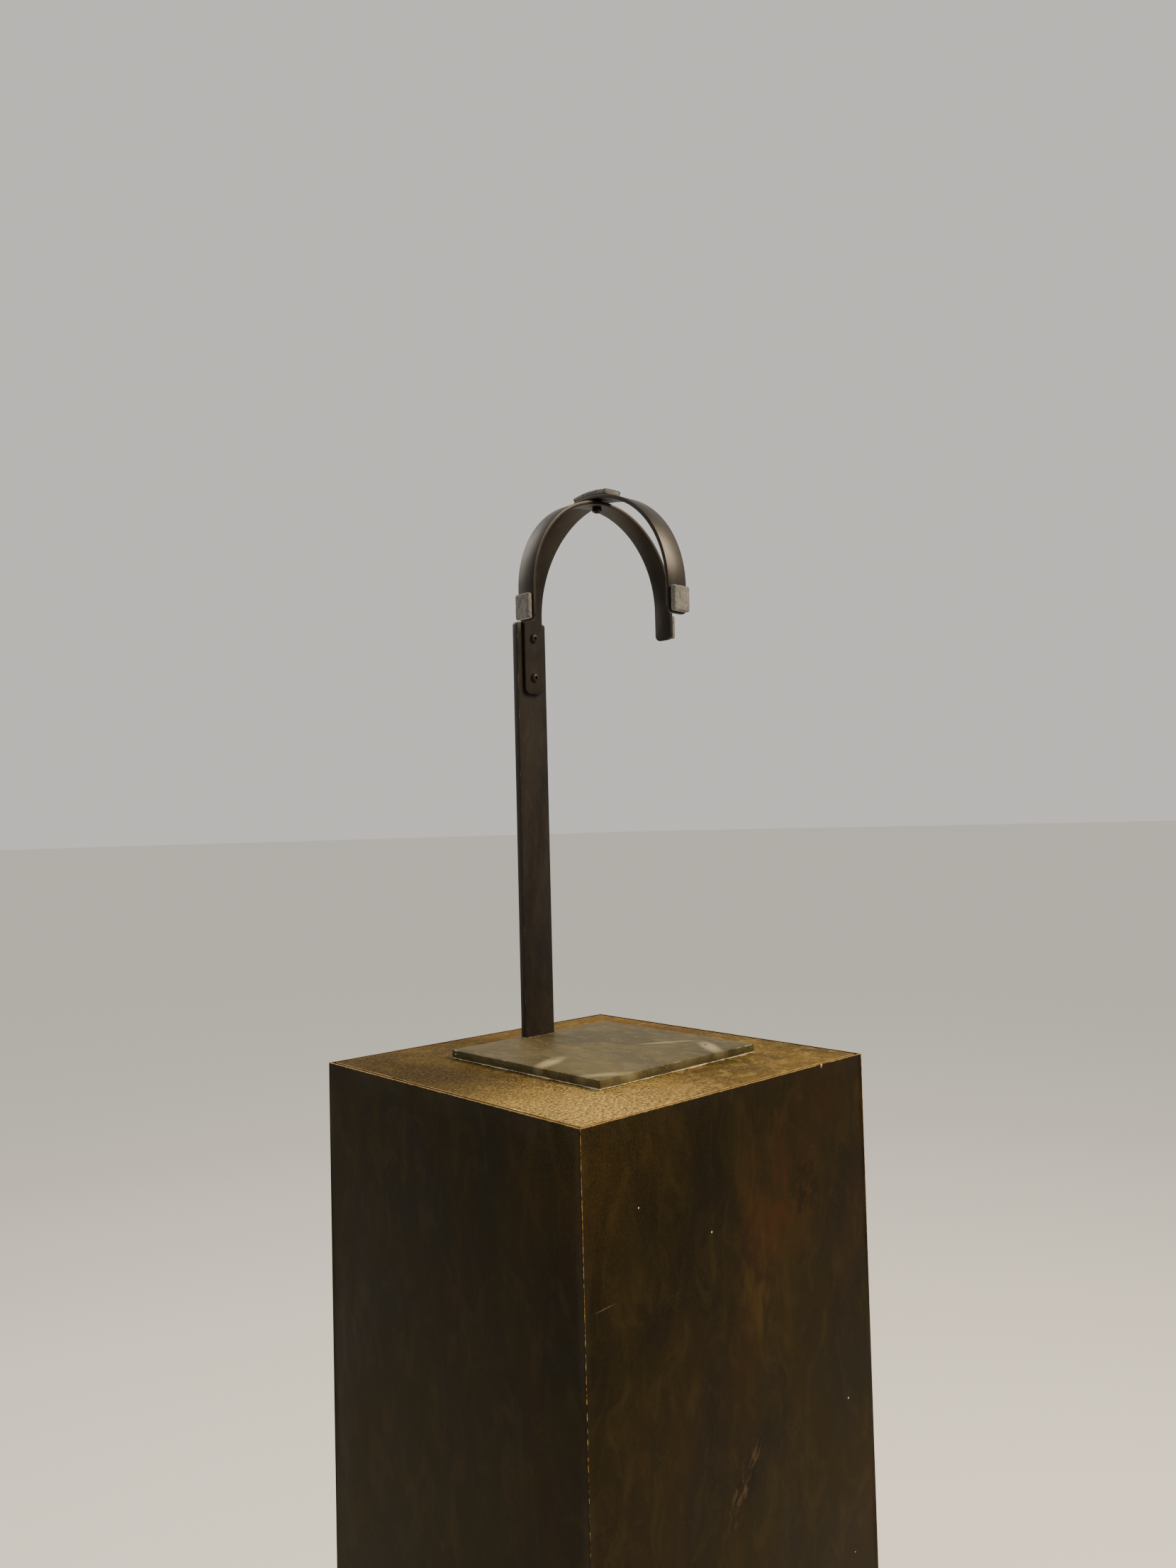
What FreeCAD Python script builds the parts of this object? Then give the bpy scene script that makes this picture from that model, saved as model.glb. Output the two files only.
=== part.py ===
import FreeCAD, Part
import os
import re
import Sketcher

# Museum display plinth: a tall square box of patinated sheet on a plywood carcass, with a lift-out
# lid that carries a steel mount for a helmet, steel ballast inside and four levelling feet.
# Millimetres. +Z is up, the front faces -Y, and the origin is on the floor under the middle.

DRIVING_SIZES = {
    # outside
    "plinth_width": 300, "plinth_depth": 300, "rim_height": 1200, "floor_gap": 8, "skin_sheet": 1.5,
    # carcass
    "wall_ply": 18, "base_ply": 18, "batten_side": 30, "ledger_width": 24, "ledger_height": 36,
    # lid
    "lid_sheet": 2, "lid_ply": 18, "lid_gap": 2.5, "core_clearance": 2, "wall_drop": 0.5,
    # wood screws
    "screw_radius": 2, "screw_head": 4, "screw_sink": 2.6, "screw_bite": 11,
    # levelling feet
    "foot_clearance": 9, "foot_radius": 19, "foot_neck_wall": 4.94, "foot_rim": 4, "foot_height": 11,
    "socket_floor": 3, "stud_radius": 5, "thread_clearance": 0.06, "collar_across": 17,
    "collar_height": 6, "collar_clearance": 0.5, "locknut_height": 5, "stud_reach": 24,
    "insert_flange": 1.5, "insert_flange_width": 6.5, "insert_wall": 1.44, "insert_depth": 14,
    # ballast
    "ballast_clearance": 6, "ballast_plate": 12, "rod_radius": 6, "rod_clearance": 0.5,
    "rod_head_radius": 14, "rod_head_height": 4, "rod_stand": 10, "washer_radius": 18,
    "washer_sheet": 2.5, "rod_nut_across": 19, "rod_nut_height": 10,
    # mount plate and its isolation pad, turned a little on the lid as it was set by hand
    "plate_side": 172, "plate_thick": 6, "plate_shift": 12, "plate_setback": 1, "plate_turn": 0.7,
    "pad_thick": 1, "pad_margin": 0.5, "bolt_spacing": 120, "bolt_radius": 3, "bolt_clearance": 0.3,
    "bolt_bite": 4.5, "bolt_head": 5, "bolt_head_height": 6, "bolt_washer": 7, "bolt_washer_sheet": 1.2,
    # post
    "post_width": 31.5, "post_thick": 6.5, "post_back": 79, "post_height": 354, "post_fit": 0.05,
    "braze_leg": 0.8,
    # cradle inside the helmet: two crossed straps with pads
    "strap_thick": 3, "spine_width": 20, "spine_radius": 85, "spine_tail": 66, "spine_front": 22,
    "cradle_height": 450, "cross_width": 18, "cross_radius": 78, "cross_leg": 26, "felt_thick": 5,
    "felt_margin": 1, "felt_crown_length": 38, "felt_length": 20, "small_radius": 2, "small_clearance": 0.1,
    "small_head": 3.8, "small_head_height": 2.4, "small_nut_across": 7, "small_nut_height": 3.2,
    "small_spacing": 34, "small_edge": 14, "small_stand": 1, "strap_spacing": 1.6, "seat_gap": 0.15,
}
SHEET_NAME = "sizes"
SCREW_ROWS = 3
BALLAST_PLATES = 4
JOINT_SCREWS = 2
CORNERS = {"front_left": (-1, -1), "front_right": (1, -1), "back_left": (-1, 1), "back_right": (1, 1)}

finished = []
doc = FreeCAD.newDocument("display_plinth")
sheet = doc.addObject("Spreadsheet::Sheet", SHEET_NAME)
for row, (alias, number) in enumerate(DRIVING_SIZES.items(), start=1):
    sheet.set(f"A{row}", alias)
    sheet.set(f"B{row}", str(number))
    sheet.setAlias(f"B{row}", alias)
doc.recompute()

# Heights and half widths that several pieces share, written in the sheet's words.
HALF_X = "(plinth_width / 2 - skin_sheet)"
HALF_Y = "(plinth_depth / 2 - skin_sheet)"
INNER_X = f"({HALF_X} - wall_ply)"
INNER_Y = f"({HALF_Y} - wall_ply)"
WALL_TOP = "(rim_height - lid_sheet - wall_drop)"
LEDGER_TOP = "(rim_height - lid_sheet - lid_ply)"
LEDGER_BOTTOM = f"({LEDGER_TOP} - ledger_height)"
COLLAR_BOTTOM = "(foot_height + collar_clearance)"
LOCKNUT_BOTTOM = f"({COLLAR_BOTTOM} + collar_height + collar_clearance)"
FLANGE_BOTTOM = f"({LOCKNUT_BOTTOM} + locknut_height)"
BASE_BOTTOM = f"({FLANGE_BOTTOM} + insert_flange)"
BASE_TOP = f"({BASE_BOTTOM} + base_ply)"
BALLAST_TOP = f"({BASE_TOP} + {BALLAST_PLATES} * ballast_plate)"
FOOT_X = f"({INNER_X} - batten_side - foot_clearance)"
FOOT_Y = f"({INNER_Y} - batten_side - foot_clearance)"
THREAD_BORE = "(stud_radius + thread_clearance)"
INSERT_RADIUS = f"({THREAD_BORE} + insert_wall)"
PLATE_TOP = "(pad_thick + plate_thick)"
POST_FRONT = "(post_back - post_thick / 2)"
SPINE_MIDDLE_Y = f"({POST_FRONT} - spine_radius)"
SPINE_MIDDLE_Z = "(cradle_height - spine_radius)"
CROSS_TOP = "(cradle_height - strap_thick - strap_spacing)"
CROSS_MIDDLE_Z = f"({CROSS_TOP} - cross_radius)"
HOLE_RADIUS = "(small_radius + small_clearance)"
JOINT_LOW = f"({SPINE_MIDDLE_Z} - spine_tail + small_edge)"


def in_sheet(text):
    """Every size in the sheet has an underscore in its name, which no function or unit has."""
    return re.sub(r"[a-z]+(?:_[a-z]+)+", lambda found: f"{SHEET_NAME}.{found.group(0)}", text)


def bind(thing, **expressions):
    for path, text in expressions.items():
        thing.setExpression(path.replace("__", "."), in_sheet(text))
    return thing


def place(thing, x="0", y="0", z="0"):
    return bind(thing, Placement__Base__x=x, Placement__Base__y=y, Placement__Base__z=z)


def sub_part(thing):
    """Marks a finished piece, which is written to a file of its own."""
    finished.append(thing)
    return thing


def box(name, x, y, z, length, width, height):
    """Placed by its lowest corner."""
    solid = bind(doc.addObject("Part::Box", name), Length=length, Width=width, Height=height)
    return place(solid, x, y, z)


def centred_box(name, x, y, z, length, width, height):
    """Placed by the middle of its underside."""
    return box(name, f"{x} - ({length}) / 2", f"{y} - ({width}) / 2", z, length, width, height)


def turned(thing, axis):
    """Turns a round solid, made along +Z, to lie along a signed X or Y axis."""
    directions = {"+X": (0, 1, 0, 90), "-X": (0, 1, 0, -90), "+Y": (1, 0, 0, -90), "-Y": (1, 0, 0, 90)}
    if axis in directions:
        x, y, z, angle = directions[axis]
        rotation = FreeCAD.Rotation(FreeCAD.Vector(x, y, z), angle)
        thing.Placement = FreeCAD.Placement(FreeCAD.Vector(), rotation)
    return thing


def cylinder(name, x, y, z, radius, height, axis="+Z"):
    solid = doc.addObject("Part::Cylinder", name)
    return place(turned(bind(solid, Radius=radius, Height=height), axis), x, y, z)


def cone(name, x, y, z, start_radius, end_radius, height, axis="+Z"):
    solid = doc.addObject("Part::Cone", name)
    return place(turned(bind(solid, Radius1=start_radius, Radius2=end_radius, Height=height), axis), x, y, z)


def hexagon(name, x, y, z, across, height, axis="+Z"):
    solid = doc.addObject("Part::Prism", name)
    solid.Polygon = 6
    return place(turned(bind(solid, Circumradius=f"({across}) / sqrt(3)", Height=height), axis), x, y, z)


def fuse(name, *solids):
    joined = doc.addObject("Part::MultiFuse", name)
    joined.Shapes = list(solids)
    joined.Refine = True
    return joined


def group(name, *solids):
    """Solids that keep their own places and are then moved together."""
    gathered = doc.addObject("Part::Compound", name)
    gathered.Links = list(solids)
    return gathered


def cut(name, base, *tools):
    rest = doc.addObject("Part::Cut", name)
    rest.Base = base
    rest.Tool = tools[0] if len(tools) == 1 else fuse(f"{name}_tools", *tools)
    rest.Refine = True
    return rest


def origin_feature(body, role):
    return next(feature for feature in body.Origin.OriginFeatures if feature.Role == role)


def new_sketch(body, name, plane="XY_Plane"):
    drawing = body.newObject("Sketcher::SketchObject", name)
    drawing.AttachmentSupport = [(origin_feature(body, plane), "")]
    drawing.MapMode = "FlatFace"
    return drawing


def fix_point(drawing, line, end, x, y):
    """Holds a point at a place from the sketch's origin, on an axis where that place is 0."""
    for kind, text, axis in (("DistanceX", x, -2), ("DistanceY", y, -1)):
        if text == "0":
            drawing.addConstraint(Sketcher.Constraint("PointOnObject", line, end, axis))
        else:
            number = drawing.addConstraint(Sketcher.Constraint(kind, -1, 1, line, end, 1.0))
            drawing.setExpression(f"Constraints[{number}]", in_sheet(text))


def value_of(text):
    return float(sheet.evalExpression(in_sheet(text)))


def outline(drawing, points):
    """A closed outline of straight lines, with each corner bound to the sheet."""
    corners = [FreeCAD.Vector(value_of(x), value_of(y), 0) for x, y in points]
    for number, corner in enumerate(corners):
        following = corners[(number + 1) % len(corners)]
        drawing.addGeometry(Part.LineSegment(corner, following), False)
    for number in range(len(points)):
        following = (number + 1) % len(points)
        drawing.addConstraint(Sketcher.Constraint("Coincident", number, 2, following, 1))
    for number, (x, y) in enumerate(points):
        fix_point(drawing, number, 1, x, y)


def rectangle(drawing, x, y, width, height):
    """Centred on a point."""
    left, right = f"{x} - ({width}) / 2", f"{x} + ({width}) / 2"
    low, high = f"{y} - ({height}) / 2", f"{y} + ({height}) / 2"
    outline(drawing, [(left, low), (right, low), (right, high), (left, high)])


def circle(drawing, x, y, radius):
    middle = FreeCAD.Vector(value_of(x), value_of(y), 0)
    number = drawing.addGeometry(Part.Circle(middle, FreeCAD.Vector(0, 0, 1), value_of(radius)), False)
    constraint = drawing.addConstraint(Sketcher.Constraint("Radius", number, value_of(radius)))
    drawing.setExpression(f"Constraints[{constraint}]", in_sheet(radius))
    fix_point(drawing, number, 3, x, y)


def pad(body, drawing, length):
    feature = body.newObject("PartDesign::Pad", f"{drawing.Name}_pad")
    feature.Profile = drawing
    return bind(feature, Length=length)


def pocket_up(body, drawing, depth):
    """Cuts from the sketch's plane towards its positive side."""
    feature = body.newObject("PartDesign::Pocket", f"{drawing.Name}_pocket")
    feature.Profile = drawing
    feature.Reversed = True
    return bind(feature, Length=depth)


def four_of(body, feature):
    """Repeats a feature at the four corners of a square."""
    pattern = body.newObject("PartDesign::PolarPattern", f"{feature.Name}_pattern")
    pattern.Originals = [feature]
    pattern.Axis = (origin_feature(body, "Z_Axis"), [""])
    pattern.Angle = 360
    pattern.Occurrences = len(CORNERS)
    body.Tip = pattern
    return pattern


def new_body(name):
    return doc.addObject("PartDesign::Body", name)


# ---- Skins: sheets butted at the corners, the front and back ones running the full width ----

def make_skins():
    height = "rim_height - floor_gap"
    for side, y in (("front", "-plinth_depth / 2"), ("back", "plinth_depth / 2 - skin_sheet")):
        sub_part(box(f"skin_{side}", "-plinth_width / 2", y, "floor_gap", "plinth_width", "skin_sheet",
                     height))
    for side, x in (("left", "-plinth_width / 2"), ("right", f"{HALF_X}")):
        sub_part(box(f"skin_{side}", x, f"-{HALF_Y}", "floor_gap", "skin_sheet", f"2 * {HALF_Y}", height))


# ---- Carcass: plywood walls, corner battens, ledgers for the lid and a base panel ----

def screw(name, x, y, z, length, axis):
    """A countersunk wood screw: (x, y, z) is the middle of its head's flat top."""
    head = cone(f"{name}_head", x, y, z, "screw_head", "screw_radius", "screw_sink", axis)
    return [head, cylinder(f"{name}_shank", x, y, z, "screw_radius", length, axis)]


def make_batten_screws():
    """Rows of screws through each batten, into the wall behind it and the wall beside it."""
    pieces = []
    reach = "batten_side + screw_bite"
    for corner, (x_side, y_side) in CORNERS.items():
        for row in range(SCREW_ROWS):
            share = f"({LEDGER_BOTTOM} - {BASE_TOP}) * {row + 0.5} / {SCREW_ROWS}"
            low, high = f"{BASE_TOP} + {share}", f"{BASE_TOP} + {share} + batten_side"
            middle_x = f"{x_side} * ({INNER_X} - batten_side / 2)"
            middle_y = f"{y_side} * ({INNER_Y} - batten_side / 2)"
            face_x = f"{x_side} * ({INNER_X} - batten_side)"
            face_y = f"{y_side} * ({INNER_Y} - batten_side)"
            toward_x, toward_y = "+X" if x_side > 0 else "-X", "+Y" if y_side > 0 else "-Y"
            pieces += screw(f"screw_x_{corner}_{row}", face_x, middle_y, low, reach, toward_x)
            pieces += screw(f"screw_y_{corner}_{row}", middle_x, face_y, high, reach, toward_y)
    return sub_part(fuse("batten_screws", *pieces))


def make_ledger_screws():
    """Two screws through each ledger into its wall."""
    pieces = []
    reach = "ledger_width + screw_bite"
    height = f"{LEDGER_TOP} - ledger_height / 2"
    for side in (-1, 1):
        for end in (-1, 1):
            face_y = f"{side} * ({INNER_Y} - ledger_width)"
            face_x = f"{side} * ({INNER_X} - ledger_width)"
            toward_x, toward_y = "+X" if side > 0 else "-X", "+Y" if side > 0 else "-Y"
            name = f"ledger_screw_{side + 1}_{end + 1}"
            pieces += screw(f"{name}_y", f"{end} * {INNER_X} / 2", face_y, height, reach, toward_y)
            pieces += screw(f"{name}_x", face_x, f"{end} * {INNER_Y} / 2", height, reach, toward_x)
    return sub_part(fuse("ledger_screws", *pieces))


def make_carcass():
    screws = fuse("screw_holes", make_batten_screws(), make_ledger_screws())
    wall_height = f"{WALL_TOP} - floor_gap"
    for side, y in (("front", f"-{HALF_Y}"), ("back", INNER_Y)):
        board = box(f"{side}_board", f"-{HALF_X}", y, "floor_gap", f"2 * {HALF_X}", "wall_ply", wall_height)
        sub_part(cut(f"wall_{side}", board, screws))
    for side, x in (("left", f"-{HALF_X}"), ("right", INNER_X)):
        board = box(f"{side}_board", x, f"-{INNER_Y}", "floor_gap", "wall_ply", f"2 * {INNER_Y}", wall_height)
        sub_part(cut(f"wall_{side}", board, screws))
    for corner, (x_side, y_side) in CORNERS.items():
        x = f"{x_side} * ({INNER_X} - batten_side / 2)"
        y = f"{y_side} * ({INNER_Y} - batten_side / 2)"
        height = f"{LEDGER_BOTTOM} - {BASE_TOP}"
        post = centred_box(f"{corner}_stick", x, y, BASE_TOP, "batten_side", "batten_side", height)
        sub_part(cut(f"batten_{corner}", post, screws))
    for side, sign in (("front", -1), ("back", 1)):
        y = f"{sign} * ({INNER_Y} - ledger_width / 2)"
        strip = centred_box(f"{side}_strip", "0", y, LEDGER_BOTTOM, f"2 * {INNER_X}", "ledger_width",
                            "ledger_height")
        sub_part(cut(f"ledger_{side}", strip, screws))
    for side, sign in (("left", -1), ("right", 1)):
        x = f"{sign} * ({INNER_X} - ledger_width / 2)"
        strip = centred_box(f"{side}_strip", x, "0", LEDGER_BOTTOM, "ledger_width",
                            f"2 * ({INNER_Y} - ledger_width)", "ledger_height")
        sub_part(cut(f"ledger_{side}", strip, screws))


def make_base_panel():
    panel = centred_box("base_board", "0", "0", BASE_BOTTOM, f"2 * {INNER_X}", f"2 * {INNER_Y}", "base_ply")
    barrels, studs = [], []
    for corner, (x_side, y_side) in CORNERS.items():
        x, y = f"{x_side} * {FOOT_X}", f"{y_side} * {FOOT_Y}"
        barrels.append(cylinder(f"barrel_hole_{corner}", x, y, BASE_BOTTOM, INSERT_RADIUS, "insert_depth"))
        studs.append(cylinder(f"stud_hole_{corner}", x, y, BASE_BOTTOM, "stud_radius + rod_clearance",
                              "base_ply"))
    rod_hole = cylinder("rod_hole", "0", "0", BASE_BOTTOM, "rod_radius + rod_clearance", "base_ply")
    sub_part(cut("base_panel", panel, *barrels, *studs, rod_hole))


# ---- Ballast: steel plates threaded on a rod that stands up from the base panel ----

def make_ballast():
    room = "2 * (stud_radius + ballast_clearance)"
    for number in range(BALLAST_PLATES):
        bottom = f"{BASE_TOP} + {number} * ballast_plate"
        blank = centred_box(f"ballast_blank_{number + 1}", "0", "0", bottom, f"2 * {FOOT_X} - {room}",
                            f"2 * {FOOT_Y} - {room}", "ballast_plate")
        eye = cylinder(f"ballast_hole_{number + 1}", "0", "0", bottom, "rod_radius + rod_clearance",
                       "ballast_plate")
        sub_part(cut(f"ballast_plate_{number + 1}", blank, eye))
    head_bottom = f"{BASE_BOTTOM} - rod_head_height"
    head = cylinder("rod_head", "0", "0", head_bottom, "rod_head_radius", "rod_head_height")
    length = f"{BALLAST_TOP} + washer_sheet + rod_nut_height + rod_stand - {BASE_BOTTOM}"
    sub_part(fuse("ballast_rod", head, cylinder("rod_shank", "0", "0", BASE_BOTTOM, "rod_radius", length)))
    disc = cylinder("washer_disc", "0", "0", BALLAST_TOP, "washer_radius", "washer_sheet")
    eye = cylinder("washer_eye", "0", "0", BALLAST_TOP, "rod_radius + rod_clearance", "washer_sheet")
    sub_part(cut("ballast_washer", disc, eye))
    nut_bottom = f"{BALLAST_TOP} + washer_sheet"
    nut = hexagon("rod_nut", "0", "0", nut_bottom, "rod_nut_across", "rod_nut_height")
    hole = cylinder("rod_nut_hole", "0", "0", nut_bottom, "rod_radius", "rod_nut_height")
    sub_part(cut("ballast_nut", nut, hole))


# ---- Levelling feet: a pad that stands on the floor and a threaded stud that turns in it ----

def make_foot(corner, x_side, y_side):
    x, y = f"{x_side} * {FOOT_X}", f"{y_side} * {FOOT_Y}"
    body = new_body(f"foot_pad_{corner}")
    profile = new_sketch(body, f"foot_profile_{corner}", "XZ_Plane")
    outline(profile, [("0", "0"), ("foot_radius", "0"), ("foot_radius", "foot_rim"),
                      (f"{THREAD_BORE} + foot_neck_wall", "foot_height"), (THREAD_BORE, "foot_height"),
                      (THREAD_BORE, "socket_floor"), ("0", "socket_floor")])
    turn = body.newObject("PartDesign::Revolution", f"foot_turn_{corner}")
    turn.Profile = profile
    turn.ReferenceAxis = (origin_feature(body, "Z_Axis"), [""])
    turn.Angle = 360
    sub_part(place(body, x, y, "0"))
    bottom = "(socket_floor + thread_clearance)"
    rod = cylinder(f"stud_rod_{corner}", x, y, bottom, "stud_radius", f"{BASE_TOP} + stud_reach - {bottom}")
    collar = hexagon(f"stud_collar_{corner}", x, y, COLLAR_BOTTOM, "collar_across", "collar_height")
    sub_part(fuse(f"foot_stud_{corner}", rod, collar))


def make_foot_fixings():
    """Threaded inserts pressed up into the base panel, and a thin lock nut under each."""
    inserts, locknuts, bores = [], [], []
    for corner, (x_side, y_side) in CORNERS.items():
        x, y = f"{x_side} * {FOOT_X}", f"{y_side} * {FOOT_Y}"
        flange = cylinder(f"flange_{corner}", x, y, FLANGE_BOTTOM, f"{INSERT_RADIUS} + insert_flange_width",
                          "insert_flange")
        barrel = cylinder(f"barrel_{corner}", x, y, BASE_BOTTOM, INSERT_RADIUS, "insert_depth")
        inserts += [flange, barrel]
        locknuts.append(hexagon(f"locknut_{corner}", x, y, LOCKNUT_BOTTOM, "collar_across", "locknut_height"))
        bores.append(cylinder(f"thread_bore_{corner}", x, y, LOCKNUT_BOTTOM, THREAD_BORE,
                              f"{BASE_TOP} - {LOCKNUT_BOTTOM}"))
    bore = fuse("thread_bores", *bores)
    sub_part(cut("foot_inserts", fuse("insert_blanks", *inserts), bore))
    sub_part(cut("foot_lock_nuts", fuse("locknut_blanks", *locknuts), bore))


# ---- Lid: a sheet bonded to a plywood core that drops between the walls onto the ledgers ----

def on_mount(thing, z="0"):
    """Puts a piece that is drawn about the mount plate's middle where the plate stands on the lid."""
    bind(thing, Placement__Rotation__Angle="plate_turn * 1 deg")
    return place(thing, "plate_shift", "plate_setback", f"rim_height + {z}")


def bolt_positions():
    for corner, (x_side, y_side) in CORNERS.items():
        yield corner, f"{x_side} * bolt_spacing / 2", f"{y_side} * bolt_spacing / 2"


def mount_bolt_group(name, radius, z, height):
    """One round solid on each mount bolt's axis, z being counted from the lid's top."""
    rods = [cylinder(f"{name}_{corner}", x, y, z, radius, height) for corner, x, y in bolt_positions()]
    return on_mount(fuse(name, *rods))


def make_lid():
    span_x, span_y = f"2 * ({HALF_X} - lid_gap)", f"2 * ({HALF_Y} - lid_gap)"
    passage = mount_bolt_group("bolt_passage", "bolt_radius + bolt_clearance", "-(lid_sheet + lid_ply)",
                               "lid_sheet + lid_ply")
    head_room = mount_bolt_group("bolt_head_room", "bolt_washer + bolt_clearance", "-(lid_sheet + lid_ply)",
                                 "bolt_head_height + bolt_washer_sheet")
    sheet_blank = centred_box("top_blank", "0", "0", "rim_height - lid_sheet", span_x, span_y, "lid_sheet")
    sub_part(cut("top_sheet", sheet_blank, passage))
    core_x, core_y = f"2 * ({INNER_X} - core_clearance)", f"2 * ({INNER_Y} - core_clearance)"
    core_blank = centred_box("core_blank", "0", "0", LEDGER_TOP, core_x, core_y, "lid_ply")
    sub_part(cut("lid_core", core_blank, passage, head_room))


def make_mount_bolts():
    """Cap screws from under the lid, in counterbores, that stop short of the plate's top."""
    washer_bottom = "-(lid_sheet + lid_ply) + bolt_head_height"
    washer_top = f"{washer_bottom} + bolt_washer_sheet"
    heads, shanks, discs, eyes = [], [], [], []
    for corner, x, y in bolt_positions():
        heads.append(cylinder(f"bolt_head_{corner}", x, y, "-(lid_sheet + lid_ply)", "bolt_head",
                              "bolt_head_height"))
        shanks.append(cylinder(f"bolt_shank_{corner}", x, y, washer_bottom, "bolt_radius",
                               f"pad_thick + bolt_bite - ({washer_bottom})"))
        discs.append(cylinder(f"bolt_washer_{corner}", x, y, washer_bottom, "bolt_washer",
                              "bolt_washer_sheet"))
        eyes.append(cylinder(f"bolt_eye_{corner}", x, y, washer_bottom, "bolt_radius + bolt_clearance",
                             f"{washer_top} - ({washer_bottom})"))
    sub_part(on_mount(fuse("mount_bolts", *heads, *shanks)))
    washers = cut("mount_washers", fuse("bolt_washer_discs", *discs), fuse("bolt_washer_eyes", *eyes))
    sub_part(on_mount(washers))


def drilled_plate(name, side, thickness, hole_radius, hole_depth):
    """A square plate drawn about its middle, drilled from beneath for the four mount bolts."""
    body = new_body(name)
    face = new_sketch(body, f"{name}_face")
    rectangle(face, "0", "0", side, side)
    pad(body, face, thickness)
    drill = new_sketch(body, f"{name}_drill")
    circle(drill, "bolt_spacing / 2", "bolt_spacing / 2", hole_radius)
    four_of(body, pocket_up(body, drill, hole_depth))
    return body


def make_plate_and_pad():
    pad_body = drilled_plate("mount_pad", "plate_side + 2 * pad_margin", "pad_thick",
                             "bolt_radius + bolt_clearance", "pad_thick")
    sub_part(on_mount(pad_body))
    plate = drilled_plate("mount_plate", "plate_side", "plate_thick", "bolt_radius", "bolt_bite")
    slot = new_sketch(plate, "post_slot")
    rectangle(slot, "0", "post_back", "post_width + 2 * post_fit", "post_thick + 2 * post_fit")
    plate.Tip = pocket_up(plate, slot, "plate_thick")
    sub_part(on_mount(plate, "pad_thick"))


# ---- Post: flat bar brazed into the plate's slot, with two holes for the cradle's screws ----

def joint_holes(name, start_y, length):
    """Clearance holes on the axes of the screws that join the cradle to the post."""
    return [cylinder(f"{name}_{row}", "0", start_y, f"{JOINT_LOW} + {row} * small_spacing", HOLE_RADIUS,
                     length, "+Y") for row in range(JOINT_SCREWS)]


def make_post():
    body = new_body("post_bar")
    section = new_sketch(body, "post_section")
    rectangle(section, "0", "post_back", "post_width", "post_thick")
    pad(body, section, "post_height + plate_thick")
    place(body, "0", "0", "pad_thick")
    holes = joint_holes("post_joint_hole", f"{POST_FRONT} - 1", "post_thick + 2")
    sub_part(on_mount(cut("post", body, *holes)))
    outer = centred_box("braze_outer", "0", "post_back", PLATE_TOP, "post_width + 2 * braze_leg",
                        "post_thick + 2 * braze_leg", "braze_leg")
    inner = centred_box("braze_inner", "0", "post_back", PLATE_TOP, "post_width", "post_thick", "braze_leg")
    sub_part(on_mount(cut("post_braze", outer, inner)))


# ---- Cradle: a spine over the crown, a crossbar under it, small screws and felt pads ----

def half_ring(name, middle_y, middle_z, radius, thickness, width, along):
    """The upper half of a strap bent in a ring about the X or Y axis."""
    if along == "X":
        start, axis = (f"-({width}) / 2", middle_y, middle_z), "+X"
        span = (f"{width} + 2", f"2 * ({radius}) + 2")
    else:
        start, axis = ("0", f"{middle_y} + ({width}) / 2", middle_z), "-Y"
        span = (f"2 * ({radius}) + 2", f"{width} + 2")
    outer = cylinder(f"{name}_outer", *start, radius, width, axis)
    inner = cylinder(f"{name}_inner", *start, f"{radius} - ({thickness})", width, axis)
    lower = centred_box(f"{name}_lower", "0", middle_y, f"{middle_z} - {radius} - 1", *span, f"{radius} + 1")
    return cut(name, outer, inner, lower)


def crown_hole(name, radius, low, high):
    """A hole on the crown screw's axis, between two heights over the lid."""
    return cylinder(name, "0", SPINE_MIDDLE_Y, low, radius, f"{high} - ({low})")


def make_spine():
    arch = half_ring("spine_arch", SPINE_MIDDLE_Y, SPINE_MIDDLE_Z, "spine_radius", "strap_thick",
                     "spine_width", "X")
    tail = centred_box("spine_tail_bar", "0", f"{POST_FRONT} - strap_thick / 2",
                       f"{SPINE_MIDDLE_Z} - spine_tail", "spine_width", "strap_thick", "spine_tail")
    front = centred_box("spine_front_bar", "0", f"{SPINE_MIDDLE_Y} - spine_radius + strap_thick / 2",
                        f"{SPINE_MIDDLE_Z} - spine_front", "spine_width", "strap_thick", "spine_front")
    crown = crown_hole("spine_drill", HOLE_RADIUS, "cradle_height - 2 * strap_thick", "cradle_height + 1")
    holes = joint_holes("spine_joint_hole", f"{POST_FRONT} - strap_thick - 1", "strap_thick + 2")
    sub_part(on_mount(cut("cradle_spine", fuse("spine_blank", arch, tail, front), crown, *holes)))


def make_crossbar():
    hoop = half_ring("cross_arch", SPINE_MIDDLE_Y, CROSS_MIDDLE_Z, "cross_radius", "strap_thick",
                     "cross_width", "Y")
    legs = [centred_box(f"cross_leg_{side}", f"{sign} * (cross_radius - strap_thick / 2)", SPINE_MIDDLE_Y,
                        f"{CROSS_MIDDLE_Z} - cross_leg", "strap_thick", "cross_width", "cross_leg")
            for side, sign in (("left", -1), ("right", 1))]
    crown = crown_hole("cross_drill", HOLE_RADIUS, f"{CROSS_TOP} - 2 * strap_thick", f"{CROSS_TOP} + 1")
    sub_part(on_mount(cut("cradle_crossbar", fuse("cross_blank", hoop, *legs), crown)))


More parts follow.
